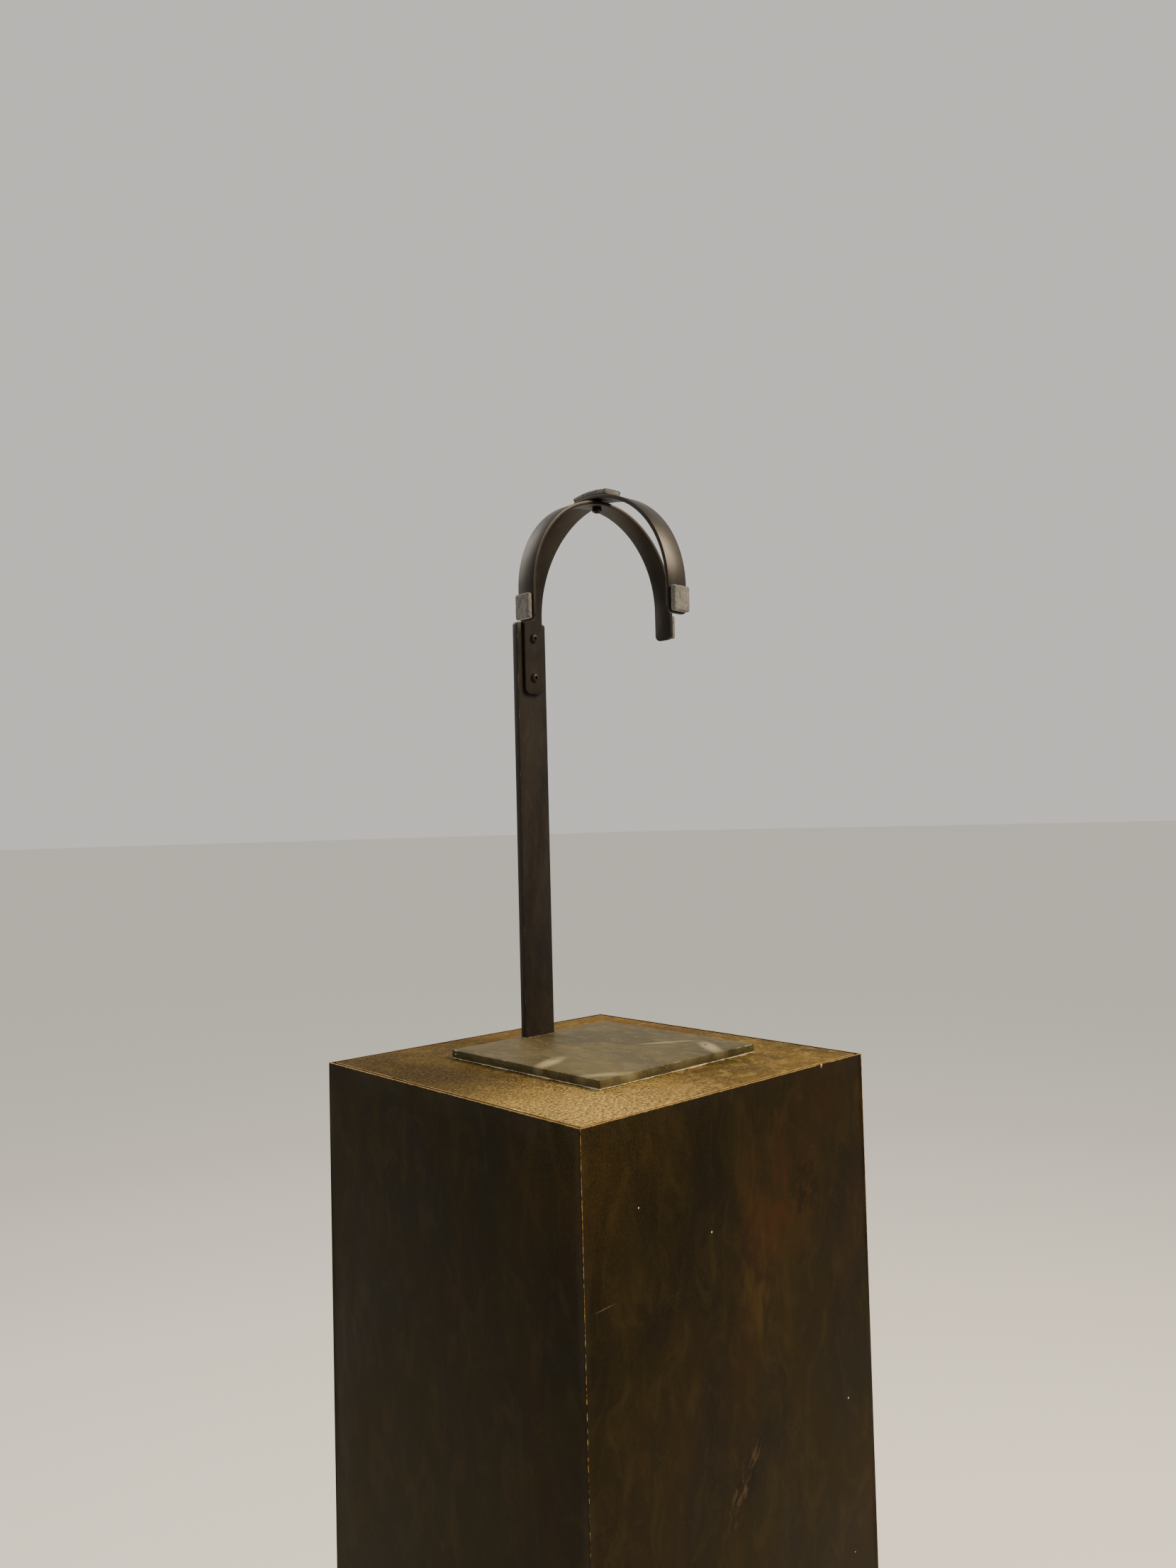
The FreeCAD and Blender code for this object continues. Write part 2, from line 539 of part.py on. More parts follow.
def make_joint_fixings():
    """Button-head screws and nuts that clamp the spine's tail to the post."""
    screws, nuts, bores = [], [], []
    face = f"{POST_FRONT} - strap_thick"
    back = f"{POST_FRONT} + post_thick"
    reach = "strap_thick + post_thick + small_nut_height + small_stand"
    for row in range(JOINT_SCREWS):
        z = f"{JOINT_LOW} + {row} * small_spacing"
        screws.append(cylinder(f"joint_head_{row}", "0", f"{face} - small_head_height", z, "small_head",
                               "small_head_height", "+Y"))
        screws.append(cylinder(f"joint_shank_{row}", "0", face, z, "small_radius", reach, "+Y"))
        nuts.append(hexagon(f"joint_nut_{row}", "0", back, z, "small_nut_across", "small_nut_height", "+Y"))
        bores.append(cylinder(f"joint_bore_{row}", "0", back, z, "small_radius", "small_nut_height", "+Y"))
    sub_part(on_mount(fuse("post_screws", *screws)))
    sub_part(on_mount(cut("post_nuts", fuse("post_nut_blanks", *nuts), fuse("post_nut_bores", *bores))))


def make_crown_fixings():
    """One screw pins the two straps where they cross, with a spacer between them."""
    nut_top = f"({CROSS_TOP} - strap_thick - seat_gap)"
    nut_bottom = f"({nut_top} - small_nut_height)"
    head = crown_hole("crown_head", "small_head", "cradle_height", "cradle_height + small_head_height")
    shank = crown_hole("crown_shank", "small_radius", f"{nut_bottom} - small_stand", "cradle_height")
    sub_part(on_mount(fuse("crown_screw", head, shank)))
    blank = hexagon("crown_nut_blank", "0", SPINE_MIDDLE_Y, nut_bottom, "small_nut_across",
                    "small_nut_height")
    bore = crown_hole("crown_nut_bore", "small_radius", nut_bottom, nut_top)
    sub_part(on_mount(cut("crown_nut", blank, bore)))
    low, high = f"({CROSS_TOP} + seat_gap)", "(cradle_height - strap_thick - seat_gap)"
    disc = crown_hole("spacer_disc", "small_head", low, high)
    sub_part(on_mount(cut("crown_spacer", disc, crown_hole("spacer_eye", HOLE_RADIUS, low, high))))


def make_felts():
    """Felt where the straps meet the helmet: on the crown, the forehead and both temples."""
    width = "(spine_width - 2 * felt_margin)"
    ring = half_ring("crown_ring", SPINE_MIDDLE_Y, SPINE_MIDDLE_Z, "(spine_radius + felt_thick)",
                     "felt_thick", width, "X")
    patch = doc.addObject("Part::Common", "crown_patch")
    patch.Base = ring
    patch.Tool = centred_box("crown_slice", "0", SPINE_MIDDLE_Y, SPINE_MIDDLE_Z, width, "felt_crown_length",
                             "spine_radius + 2 * felt_thick")
    head_room = crown_hole("crown_head_room", "small_head + felt_margin", "cradle_height - felt_thick",
                           "cradle_height + 2 * felt_thick")
    sub_part(on_mount(cut("felt_crown", patch, head_room)))
    front_y = f"{SPINE_MIDDLE_Y} - spine_radius - felt_thick / 2"
    front = centred_box("front_strip", "0", front_y, f"{SPINE_MIDDLE_Z} - spine_front + felt_margin", width,
                        "felt_thick", "felt_length")
    sub_part(on_mount(group("felt_front", front)))
    bottom = f"{CROSS_MIDDLE_Z} - cross_leg + felt_margin"
    for side, sign in (("left", -1), ("right", 1)):
        x = f"{sign} * (cross_radius + felt_thick / 2)"
        strip = centred_box(f"{side}_strip_felt", x, SPINE_MIDDLE_Y, bottom, "felt_thick",
                            "cross_width - 2 * felt_margin", "felt_length")
        sub_part(on_mount(group(f"felt_{side}", strip)))


def check_and_export():
    """Every object must have recomputed, and every sub-part must be a valid solid, before any file."""
    doc.recompute()
    for thing in doc.Objects:
        if "Invalid" in thing.State or "Error" in thing.State:
            raise RuntimeError(f"{thing.Name} failed: {thing.State}")
    for thing in finished:
        if thing.Shape.isNull() or not thing.Shape.isValid() or not thing.Shape.Solids:
            raise RuntimeError(f"{thing.Label} has no valid solid")
    os.makedirs("parts", exist_ok=True)
    for thing in finished:
        thing.Shape.exportStep(f"parts/{thing.Label}.step")
        size = thing.Shape.BoundBox
        print(f"{thing.Label}: {len(thing.Shape.Solids)} solids, {thing.Shape.Volume:.0f} mm3, "
              f"{size.XLength:.1f} x {size.YLength:.1f} x {size.ZLength:.1f} mm")
    print(f"{len(finished)} sub-parts written")


make_skins()
make_carcass()
make_base_panel()
make_ballast()
for corner_name, (x_sign, y_sign) in CORNERS.items():
    make_foot(corner_name, x_sign, y_sign)
make_foot_fixings()
make_lid()
make_mount_bolts()
make_plate_and_pad()
make_post()
make_spine()
make_crossbar()
make_joint_fixings()
make_crown_fixings()
make_felts()
check_and_export()
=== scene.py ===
import math

import bmesh
import bpy
from mathutils import Matrix, Vector


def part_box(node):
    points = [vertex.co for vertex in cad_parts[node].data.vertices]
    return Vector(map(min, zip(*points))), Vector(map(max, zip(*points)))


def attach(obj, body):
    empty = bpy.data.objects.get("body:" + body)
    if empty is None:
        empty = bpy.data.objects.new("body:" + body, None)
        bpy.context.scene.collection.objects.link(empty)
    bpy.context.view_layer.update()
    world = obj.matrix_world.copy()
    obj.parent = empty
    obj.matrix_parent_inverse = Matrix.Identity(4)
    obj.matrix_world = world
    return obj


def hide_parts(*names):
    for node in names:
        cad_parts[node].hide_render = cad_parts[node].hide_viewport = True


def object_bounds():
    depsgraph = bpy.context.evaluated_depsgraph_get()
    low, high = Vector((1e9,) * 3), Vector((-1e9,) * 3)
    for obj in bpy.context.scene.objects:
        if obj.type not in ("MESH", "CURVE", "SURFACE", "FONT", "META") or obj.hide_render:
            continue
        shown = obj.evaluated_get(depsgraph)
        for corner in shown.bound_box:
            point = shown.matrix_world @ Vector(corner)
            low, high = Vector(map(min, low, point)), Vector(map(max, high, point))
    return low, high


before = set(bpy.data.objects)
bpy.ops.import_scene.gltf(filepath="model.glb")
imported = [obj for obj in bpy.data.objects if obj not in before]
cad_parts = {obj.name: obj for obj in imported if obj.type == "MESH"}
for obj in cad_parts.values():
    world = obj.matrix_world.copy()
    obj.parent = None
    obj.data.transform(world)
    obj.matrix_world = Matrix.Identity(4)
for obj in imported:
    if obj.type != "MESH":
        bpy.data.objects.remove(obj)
cadLow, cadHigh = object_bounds()
mm = 0.001
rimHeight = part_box("skin_front")[1].z
print("frame loaded:", len(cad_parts), "nodes")


def hexColour(code):
    # sRGB hex to the linear colour that a shader takes
    channels = [int(code[i:i + 2], 16) / 255 for i in (1, 3, 5)]
    return [c / 12.92 if c <= 0.04045 else ((c + 0.055) / 1.055) ** 2.4 for c in channels] + [1.0]


def perMm(size):
    # noise scale whose features are about this many millimetres across
    return 1 / (size * mm)


smoothly = {"interpolation_type": "SMOOTHSTEP"}
inColour = {"data_type": "RGBA"}


def addNode(tree, kind, settings, inputs):
    node = tree.nodes.new("ShaderNode" + kind)
    for name, value in settings.items():
        setattr(node, name, value)
    for name, value in inputs.items():
        if isinstance(value, bpy.types.NodeSocket):
            tree.links.new(value, node.inputs[name])
        else:
            node.inputs[name].default_value = value
    return node


def newMaterial(name):
    material = bpy.data.materials.new(name)
    material.use_nodes = True
    tree = material.node_tree
    return material, tree, tree.nodes["Principled BSDF"]


def takeUp(piece):
    # the only selected object, and the active one
    bpy.ops.object.select_all(action="DESELECT")
    piece.select_set(True)
    bpy.context.view_layer.objects.active = piece


def applyPlace(piece, name=None):
    takeUp(piece)
    bpy.ops.object.transform_apply(location=True, rotation=True, scale=True)
    if name:
        piece.name = name
    return piece


def startCube(name, low, high):
    bpy.ops.object.select_all(action="DESELECT")
    middle = (Vector(low) + Vector(high)) / 2
    bpy.ops.mesh.primitive_cube_add(size=1, location=middle, scale=Vector(high) - Vector(low))
    return applyPlace(bpy.context.object, name)


def startRound(name, radius, low, high, sides=48, middle=(0, 0)):
    # an upright cylinder, or a prism with two corners on the X axis
    bpy.ops.object.select_all(action="DESELECT")
    place = (middle[0], middle[1], (low + high) / 2)
    bpy.ops.mesh.primitive_cylinder_add(vertices=sides, radius=radius, depth=high - low, location=place,
                                        rotation=(0, 0, math.pi / 2))
    return applyPlace(bpy.context.object, name)


def edit(piece):
    takeUp(piece)
    bpy.ops.object.mode_set(mode="EDIT")


def leave():
    bpy.ops.object.mode_set(mode="OBJECT")


def choose(piece, kind, test):
    # in edit mode, selects the vertices, edges or faces that pass the test
    bpy.ops.mesh.select_mode(type={"verts": "VERT", "edges": "EDGE", "faces": "FACE"}[kind])
    bpy.ops.mesh.select_all(action="DESELECT")
    mesh = bmesh.from_edit_mesh(piece.data)
    for element in getattr(mesh, kind):
        if test(element):
            element.select = True
    mesh.select_flush_mode()
    bmesh.update_edit_mesh(piece.data)


def middleOf(edge):
    return (edge.verts[0].co + edge.verts[1].co) / 2


def runsAlong(edge, axis):
    run = (edge.verts[1].co - edge.verts[0].co).normalized()
    return abs(run[axis]) > 0.9999


def bevelChosen(width, segments=2):
    bpy.ops.mesh.bevel(offset=width, segments=segments, affect="EDGES")


def bevelArrises(piece, width, segments=2, degrees=50):
    # every sharp edge of the piece
    edit(piece)
    bpy.ops.mesh.select_mode(type="EDGE")
    bpy.ops.mesh.select_all(action="DESELECT")
    bpy.ops.mesh.edges_select_sharp(sharpness=math.radians(degrees))
    bevelChosen(width, segments)
    leave()


def divideAlong(piece, axis, length, step):
    # even cuts across all the edges that run the whole way along an axis
    edit(piece)
    choose(piece, "edges", lambda e: runsAlong(e, axis) and e.calc_length() > 0.5 * length)
    bpy.ops.mesh.subdivide(number_cuts=max(1, round(length / step) - 1))
    leave()


def applyModifier(piece, kind, settings):
    takeUp(piece)
    modifier = piece.modifiers.new(kind.title(), kind)
    for name, value in settings.items():
        setattr(modifier, name, value)
    bpy.ops.object.modifier_apply(modifier=modifier.name)


def roughen(piece, test, wear):
    # pushes the chosen points inwards unevenly, by a wear's size and most depth in mm, and its contrast
    size, depth, contrast = wear
    group = piece.vertex_groups.new(name="worn")
    group.add([v.index for v in piece.data.vertices if test(v.co)], 1.0, "REPLACE")
    clouds = bpy.data.textures.new(piece.name + "Clouds", "CLOUDS")
    clouds.noise_scale = size * mm
    clouds.contrast = contrast
    low, high = ([fold(v.co[n] for v in piece.data.vertices) for n in range(3)] for fold in (min, max))
    applyModifier(piece, "DISPLACE", {"texture": clouds, "texture_coords": "LOCAL", "vertex_group": "worn",
                                      "mid_level": 1.0, "strength": depth * mm})
    piece.vertex_groups.remove(piece.vertex_groups["worn"])
    for vertex in piece.data.vertices:      # nothing stands proud of where the piece was
        vertex.co = [min(max(vertex.co[n], low[n]), high[n]) for n in range(3)]


def shapeWith(piece, tool, operation="DIFFERENCE"):
    applyModifier(piece, "BOOLEAN", {"operation": operation, "object": tool, "solver": "EXACT"})
    bpy.data.objects.remove(tool)


def joinAll(name, pieces):
    takeUp(pieces[0])
    for piece in pieces:
        piece.select_set(True)
    bpy.ops.object.join()
    bpy.context.object.name = name
    return bpy.context.object


def moveTo(piece, place, turn=(0, 0, 0), name=None):
    piece.location = place
    piece.rotation_euler = turn
    return applyPlace(piece, name)


def copiesOf(model, name, places, turn=(0, 0, 0)):
    # one model, copied to each place and joined as a single piece
    twins = []
    for place in places:
        twin = model.copy()
        twin.data = model.data.copy()
        bpy.context.scene.collection.objects.link(twin)
        twins.append(moveTo(twin, place, turn))
    bpy.data.objects.remove(model)
    return joinAll(name, twins)


def drillAlong(piece, axis, place, radius):
    # a hole through a thin piece, along Y or Z
    reach = 15 * mm
    turn = (math.pi / 2, 0, 0) if axis == 1 else (0, 0, 0)
    shapeWith(piece, moveTo(startRound("drill", radius * mm, -reach, reach, 32), place, turn))


def closeUp(piece):
    # merges seams and faces everything outwards
    edit(piece)
    bpy.ops.mesh.select_all(action="SELECT")
    bpy.ops.mesh.remove_doubles(threshold=0.00001)
    bpy.ops.mesh.normals_make_consistent(inside=False)
    leave()


def turned(name, steps, sides=48):
    # a turned solid: a disc drawn through radius and height steps, in millimetres
    bpy.ops.object.select_all(action="DESELECT")
    radius, height = steps[0]
    bpy.ops.mesh.primitive_circle_add(vertices=sides, radius=radius * mm, fill_type="NGON",
                                      location=(0, 0, height * mm), rotation=(0, 0, math.pi / 2))
    piece = applyPlace(bpy.context.object, name)
    edit(piece)
    bpy.ops.mesh.select_all(action="SELECT")
    for nextRadius, nextHeight in steps[1:]:
        rise = (nextHeight - height) * mm
        bpy.ops.mesh.extrude_region_move(TRANSFORM_OT_translate={"value": (0, 0, rise)})
        ratio = nextRadius / radius
        bpy.ops.transform.resize(value=(ratio, ratio, 1), center_override=(0, 0, 0))
        radius, height = nextRadius, nextHeight
    bpy.ops.mesh.select_all(action="SELECT")
    bpy.ops.mesh.normals_make_consistent(inside=False)
    leave()
    return piece


def settle(piece, material, slot, body, *nodes, degrees=35):
    # finished: its shading and material, the CAD nodes that it stands for, and its body; the slot is not
    # used
    takeUp(piece)
    bpy.ops.object.shade_smooth_by_angle(angle=math.radians(degrees))
    piece.data.materials.clear()
    piece.data.materials.append(material)
    if nodes:
        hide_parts(*nodes)
    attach(piece, body)
    return piece


def repaint(material, *names):
    # CAD nodes whose shape is right, with a better finish
    for name in names:
        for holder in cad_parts[name].material_slots:
            holder.material = material


cameraLook = {
    "place": (-617 * mm, -669.3 * mm, rimHeight + 183.7 * mm),
    "turn": -42.78,        # degrees from +Y towards -X, seen from above
    "rise": 2.17,          # degrees above the horizon
    "roll": -1.42,
    "lens": 26.04,         # mm, with 36 mm along the frame's long side
}


def makeCamera():
    turn, rise, roll = (math.radians(cameraLook[key]) for key in ("turn", "rise", "roll"))
    ahead = Vector((-math.sin(turn) * math.cos(rise), math.cos(turn) * math.cos(rise), math.sin(rise)))
    level = Vector((math.cos(turn), math.sin(turn), 0))
    upright = level.cross(ahead)
    right = math.cos(roll) * level + math.sin(roll) * upright
    up = math.cos(roll) * upright - math.sin(roll) * level
    bpy.ops.object.camera_add()
    camera = bpy.context.object
    facing = Matrix((right, up, -ahead)).transposed().to_4x4()
    camera.matrix_world = Matrix.Translation(cameraLook["place"]) @ facing
    camera.data.lens = cameraLook["lens"]
    camera.data.sensor_width = 36
    camera.data.clip_start = 0.01
    camera.data.clip_end = 1000
    bpy.context.scene.camera = camera


studioLights = {
    "key": {"place": (1.3, -1.6, 3.2), "size": 1.2, "watts": 165, "tint": "#ffe8c4"},
    "side": {"place": (-2.6, -0.4, 1.9), "size": 1.8, "watts": 3, "tint": "#fff4e6"},
    "back": {"place": (-0.5, 2.4, 3.0), "size": 1.6, "watts": 40, "tint": "#fff4e4"},
}
studioLook = {"floor": "#ece8e0", "air": "#f2eee7", "airStrength": 0.78, "floorSize": 400.0}


def makeStudio():
    target = Vector((0, 0, rimHeight * 0.8))
    for name, look in studioLights.items():
        bpy.ops.object.light_add(type="AREA", location=look["place"])
        lamp = bpy.context.object
        lamp.name = name + "Light"
        lamp.rotation_euler = (Vector(look["place"]) - target).to_track_quat("Z", "Y").to_euler()
        lamp.data.size = look["size"]
        lamp.data.energy = look["watts"]
        lamp.data.color = hexColour(look["tint"])[:3]
    world = bpy.data.worlds.new("studioAir")
    world.use_nodes = True
    world.node_tree.nodes["Background"].inputs["Color"].default_value = hexColour(studioLook["air"])
    world.node_tree.nodes["Background"].inputs["Strength"].default_value = studioLook["airStrength"]
    bpy.context.scene.world = world
    bpy.ops.mesh.primitive_plane_add(size=studioLook["floorSize"])
    floor = bpy.context.object
    floor.name = "studioFloor"
    material, tree, shader = newMaterial("pale painted floor")
    shader.inputs["Base Color"].default_value = hexColour(studioLook["floor"])
    shader.inputs["Roughness"].default_value = 0.75
    floor.data.materials.append(material)


makeCamera()
makeStudio()
print("camera and studio ready")

mountTurn = math.radians(0.7)      # the mount was set down a little askew
plateLow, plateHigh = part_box("mount_plate")
mountCentre = Vector(((plateLow.x + plateHigh.x) / 2, (plateLow.y + plateHigh.y) / 2, 0))


def mountBox(node):
    # a node's low and high corners in the mount's own square frame
    low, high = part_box(node)
    size = high - low
    middle = (low + high) / 2 - mountCentre
    cosine, sine = math.cos(mountTurn), math.sin(mountTurn)
    spread = cosine * cosine - sine * sine
    half = Vector(((size.x * cosine - size.y * sine) / spread, (size.y * cosine - size.x * sine) / spread,
                   size.z)) / 2
    centre = Vector((middle.x * cosine + middle.y * sine, middle.y * cosine - middle.x * sine, middle.z))
    return centre - half, centre + half


def onPlinth(spot):
    # a point of the mount's frame, in the plinth's
    return Matrix.Rotation(mountTurn, 3, "Z") @ Vector(spot) + mountCentre


def ontoMount(piece):
    return moveTo(piece, mountCentre, (0, 0, mountTurn))


def softSpot(tree, place, at, reachMm, lean, share, feather):
    # 1 at the middle of a mark, fading to 0 at its reach, and feathered along its own direction
    own = addNode(tree, "Mapping", {"vector_type": "TEXTURE"},
                  {"Vector": place, "Location": (at[0] * mm, at[1] * mm, rimHeight + at[2] * mm),
                   "Rotation": (0, math.radians(lean[0]), math.radians(lean[1])),
                   "Scale": [size * mm for size in reachMm]}).outputs[0]
    far = addNode(tree, "VectorMath", {"operation": "LENGTH"}, {0: own}).outputs["Value"]
    spot = addNode(tree, "MapRange", smoothly,
                   {"Value": far, "From Min": 0.15, "From Max": 1.0, "To Min": share,
                    "To Max": 0.0}).outputs[0]
    if not feather:
        return spot
    ragged = addNode(tree, "TexNoise", {}, {"Vector": own, "Scale": feather[0], "Detail": 5,
                                            "Roughness": 0.6, "Distortion": 0.6}).outputs[0]
    cut = addNode(tree, "MapRange", smoothly,
                  {"Value": ragged, "From Min": feather[1], "From Max": feather[2]}).outputs[0]
    return addNode(tree, "Math", {"operation": "MULTIPLY"}, {0: spot, 1: cut}).outputs[0]


def arrisWear(tree, place, block, wear):
    # 1 on the arrises of a block, broken up as handling leaves them, and 0 away from them
    middle, half, turn = block
    centred = addNode(tree, "Mapping", {"vector_type": "TEXTURE"},
                      {"Vector": place, "Location": middle, "Rotation": (0, 0, turn)})
    inward = addNode(tree, "VectorMath", {"operation": "ABSOLUTE"}, {0: centred.outputs[0]})
    depth = addNode(tree, "VectorMath", {"operation": "SUBTRACT"}, {0: half, 1: inward.outputs[0]})
    x, y, z = addNode(tree, "SeparateXYZ", {}, {0: depth.outputs[0]}).outputs
    # the second smallest depth under a face is the distance from an arris
    lesser = addNode(tree, "Math", {"operation": "MINIMUM"}, {0: x, 1: y}).outputs[0]
    greater = addNode(tree, "Math", {"operation": "MAXIMUM"}, {0: x, 1: y}).outputs[0]
    inner = addNode(tree, "Math", {"operation": "MINIMUM"}, {0: greater, 1: z}).outputs[0]
    second = addNode(tree, "Math", {"operation": "MAXIMUM"}, {0: lesser, 1: inner}).outputs[0]
    width = wear["mm"] * mm
    patchy = addNode(tree, "TexNoise", {}, {"Vector": place, "Scale": perMm(wear["patchMm"]),
                                            "Detail": 4, "Roughness": 0.7}).outputs[0]
    reach = addNode(tree, "MapRange", {}, {"Value": patchy, "From Min": wear["from"],
                                           "From Max": wear["to"], "To Max": width}).outputs[0]
    if "fadeMm" in wear:
        # hands reach the arrises near the rim, so these are keenest there
        height = addNode(tree, "SeparateXYZ", {}, {0: place}).outputs[2]
        handled = addNode(tree, "MapRange", {},
                          {"Value": height, "From Min": rimHeight - wear["fadeMm"] * mm,
                           "From Max": rimHeight, "To Min": -0.5 * width, "To Max": 0.2 * width}).outputs[0]
        reach = addNode(tree, "Math", {"operation": "ADD"}, {0: reach, 1: handled}).outputs[0]
    spare = addNode(tree, "Math", {"operation": "SUBTRACT"}, {0: reach, 1: second}).outputs[0]
    return addNode(tree, "MapRange", {}, {"Value": spare, "From Max": 0.25 * width}).outputs[0]


def dustAndLightShare(tree, place, grain, look):
    # dust and rubbing, with a painted pool of light, heaviest about one spot
    far = addNode(tree, "VectorMath", {"operation": "DISTANCE"},
                  {0: place, 1: look["dustAndLightSpot"]}).outputs["Value"]
    near = addNode(tree, "MapRange", smoothly,
                   {"Value": far, "From Max": look["dustAndLightReachMm"] * mm, "To Min": 1.0,
                    "To Max": look["dustAndLightElsewhere"]}).outputs[0]
    grit = addNode(tree, "MapRange", {}, {"Value": grain, "From Min": 0.45, "From Max": 0.6,
                                          "To Max": look["dustAndLightShare"]}).outputs[0]
    return addNode(tree, "Math", {"operation": "MULTIPLY"}, {0: near, 1: grit}).outputs[0]


def speckShare(tree, place, look):
    # tiny white specks, one here and there
    cells = addNode(tree, "TexVoronoi", {}, {"Vector": place, "Scale": perMm(look["speckEveryMm"])})
    dot = addNode(tree, "Math", {"operation": "LESS_THAN"},
                  {0: cells.outputs["Distance"], 1: look["speckMm"] / look["speckEveryMm"]}).outputs[0]
    picked = addNode(tree, "SeparateColor", {}, {0: cells.outputs["Color"]}).outputs[0]
    chosen = addNode(tree, "Math", {"operation": "GREATER_THAN"}, {0: picked, 1: 0.62}).outputs[0]
    return addNode(tree, "Math", {"operation": "MULTIPLY"}, {0: dot, 1: chosen}).outputs[0]


def filedShare(tree, place, streaks):
    # the cut edge along the rim was filed bright, and has dulled in places
    height = addNode(tree, "SeparateXYZ", {}, {0: place}).outputs[2]
    top = addNode(tree, "Math", {"operation": "GREATER_THAN"},
                  {0: height, 1: rimHeight - 0.12 * mm}).outputs[0]
    keen = addNode(tree, "MapRange", {}, {"Value": streaks, "From Min": 0.3, "From Max": 0.6,
                                          "To Min": 0.5, "To Max": 0.9}).outputs[0]
    return addNode(tree, "Math", {"operation": "MULTIPLY"}, {0: top, 1: keen}).outputs[0]


def patinated(name, look, block=None):
    # clouded, streaked chemical colour over metal, with bare metal where the arrises rub
    material, tree, shader = newMaterial(name)
    place = addNode(tree, "TexCoord", {}, {}).outputs["Object"]
    noises = {}
    # the mottle is finer and brushed, as the wash dried
    for kind, detail, rough, warp in (("clouds", 6, 0.62, 0.8), ("streaks", 5, 0.55, 0.35),
                                      ("mottle", 6, 0.68, 1.2), ("grain", 6, 0.88, 0.0)):
        size, stretch = look[kind]
        stretched = addNode(tree, "Mapping", {}, {"Vector": place, "Scale": stretch}).outputs[0]
        noises[kind] = addNode(tree, "TexNoise", {},
                               {"Vector": stretched, "Scale": perMm(size), "Detail": detail,
                                "Roughness": rough, "Distortion": warp}).outputs[0]
    coats = []      # how much of each colour lies over what is under it
    for kind, low, high, most, shade in (("clouds", 0.36, 0.66, 1.0, "middle"),
                                         ("streaks", 0.46, 0.74, look["warmShare"], "warm"),
                                         ("mottle", 0.44, 0.7, look["mottleShare"], "pale")):
        share = addNode(tree, "MapRange", smoothly,
                        {"Value": noises[kind], "From Min": low, "From Max": high,
                         "To Max": most}).outputs[0]
        coats.append((share, look[shade]))
    for shade, *mark in look.get("marks", []):
        coats.append((softSpot(tree, place, *mark), shade))
    dustAndLight = dustAndLightShare(tree, place, noises["grain"], look)
    # pale over it: dust, and a painted pool of light
    coats.append((dustAndLight, look["pale"]))
    coats.append((speckShare(tree, place, look), look["speck"]))
    if "filed" in look:
        coats.append((filedShare(tree, place, noises["streaks"]), look["filed"]))
    gloss = addNode(tree, "MapRange", {},
                    {"Value": noises["clouds"], "From Min": 0.3, "From Max": 0.7, "To Min": look["roughLow"],
                     "To Max": look["roughHigh"]}).outputs[0]
    roughness = addNode(tree, "Math", {"operation": "MULTIPLY_ADD", "use_clamp": True},
                        {0: dustAndLight, 1: 0.35, 2: gloss}).outputs[0]
    shader.inputs["Metallic"].default_value = look["metallic"]
    if block:
        worn = arrisWear(tree, place, block, look["wear"])
        coats.append((worn, look["bare"]))
        roughness = addNode(tree, "Mix", {}, {0: worn, 2: roughness, 3: 0.32}).outputs[0]
        metallic = addNode(tree, "Mix", {}, {0: worn, 2: look["metallic"], 3: 1.0}).outputs[0]
        tree.links.new(metallic, shader.inputs["Metallic"])
    colour = hexColour(look["dark"])
    for share, shade in coats:
        colour = addNode(tree, "Mix", inColour, {0: share, 6: colour, 7: hexColour(shade)}).outputs[2]
    tree.links.new(colour, shader.inputs["Base Color"])
    tree.links.new(roughness, shader.inputs["Roughness"])
    shader.inputs["Specular IOR Level"].default_value = look["sheenLevel"]
    rolled = addNode(tree, "Bump", {}, {"Height": noises["clouds"], "Strength": 0.5,
                                        "Distance": look["waveMm"] * mm}).outputs[0]
    gritty = addNode(tree, "Bump", {}, {"Height": noises["grain"], "Strength": 0.6,
                                        "Distance": look["gritDeepMm"] * mm, "Normal": rolled}).outputs[0]
    tree.links.new(gritty, shader.inputs["Normal"])
    return material


def blockOf(low, high, turn=0.0):
    return (Vector(low) + Vector(high)) / 2, (Vector(high) - Vector(low)) / 2, turn


def onMount(node):
    # a mount node's block, for the wear on its arrises
    middle, half, turn = blockOf(*mountBox(node), mountTurn)
    return onPlinth(middle), half, turn


# Each noise is given as its size in millimetres and its squeeze along X, Y and Z, where less than 1
# draws it out. A mark is its colour, its place from the plinth's axis and rim in mm, its reach in mm,
# its tilt and turn in degrees, its share, and its feather: how fine, and the noise values between
# which it comes in.
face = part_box("skin_front")[0].y / mm      # the front sheet's outside, along Y
onTop = 0           # level with the rim, as the lid is
onPlate = 7         # the top of the mount plate
even = (1, 1, 1)    # no squeeze

# Brass sheet, darkened nearly black-brown with a sulphide wash and waxed: satin, cloudy, run-marked.
sideLook = {
    "dark": "#110d03", "middle": "#201a07", "warm": "#281706", "pale": "#54431a", "bare": "#b98f4a",
    "filed": "#8c7043", "speck": "#d2cbb8",
    "clouds": (85, (1, 1, 0.6)), "streaks": (44, (1, 1, 0.36)), "mottle": (22, (1, 1, 0.5)),
    "grain": (1.8, even), "warmShare": 0.45, "mottleShare": 0.12,
    # lightest about the near corner by the rim: dust, and a painted pool of light
    "dustAndLightSpot": (-0.15, -0.15, rimHeight), "dustAndLightReachMm": 120, "dustAndLightElsewhere": 0.25, "dustAndLightShare": 0.3,
    "speckEveryMm": 32, "speckMm": 0.62, "roughLow": 0.46, "roughHigh": 0.62, "metallic": 0.45,
    "sheenLevel": 0.07, "waveMm": 0.35, "gritDeepMm": 0.05,
    "wear": {"mm": 0.55, "patchMm": 5, "from": 0.34, "to": 0.66, "fadeMm": 380},
}
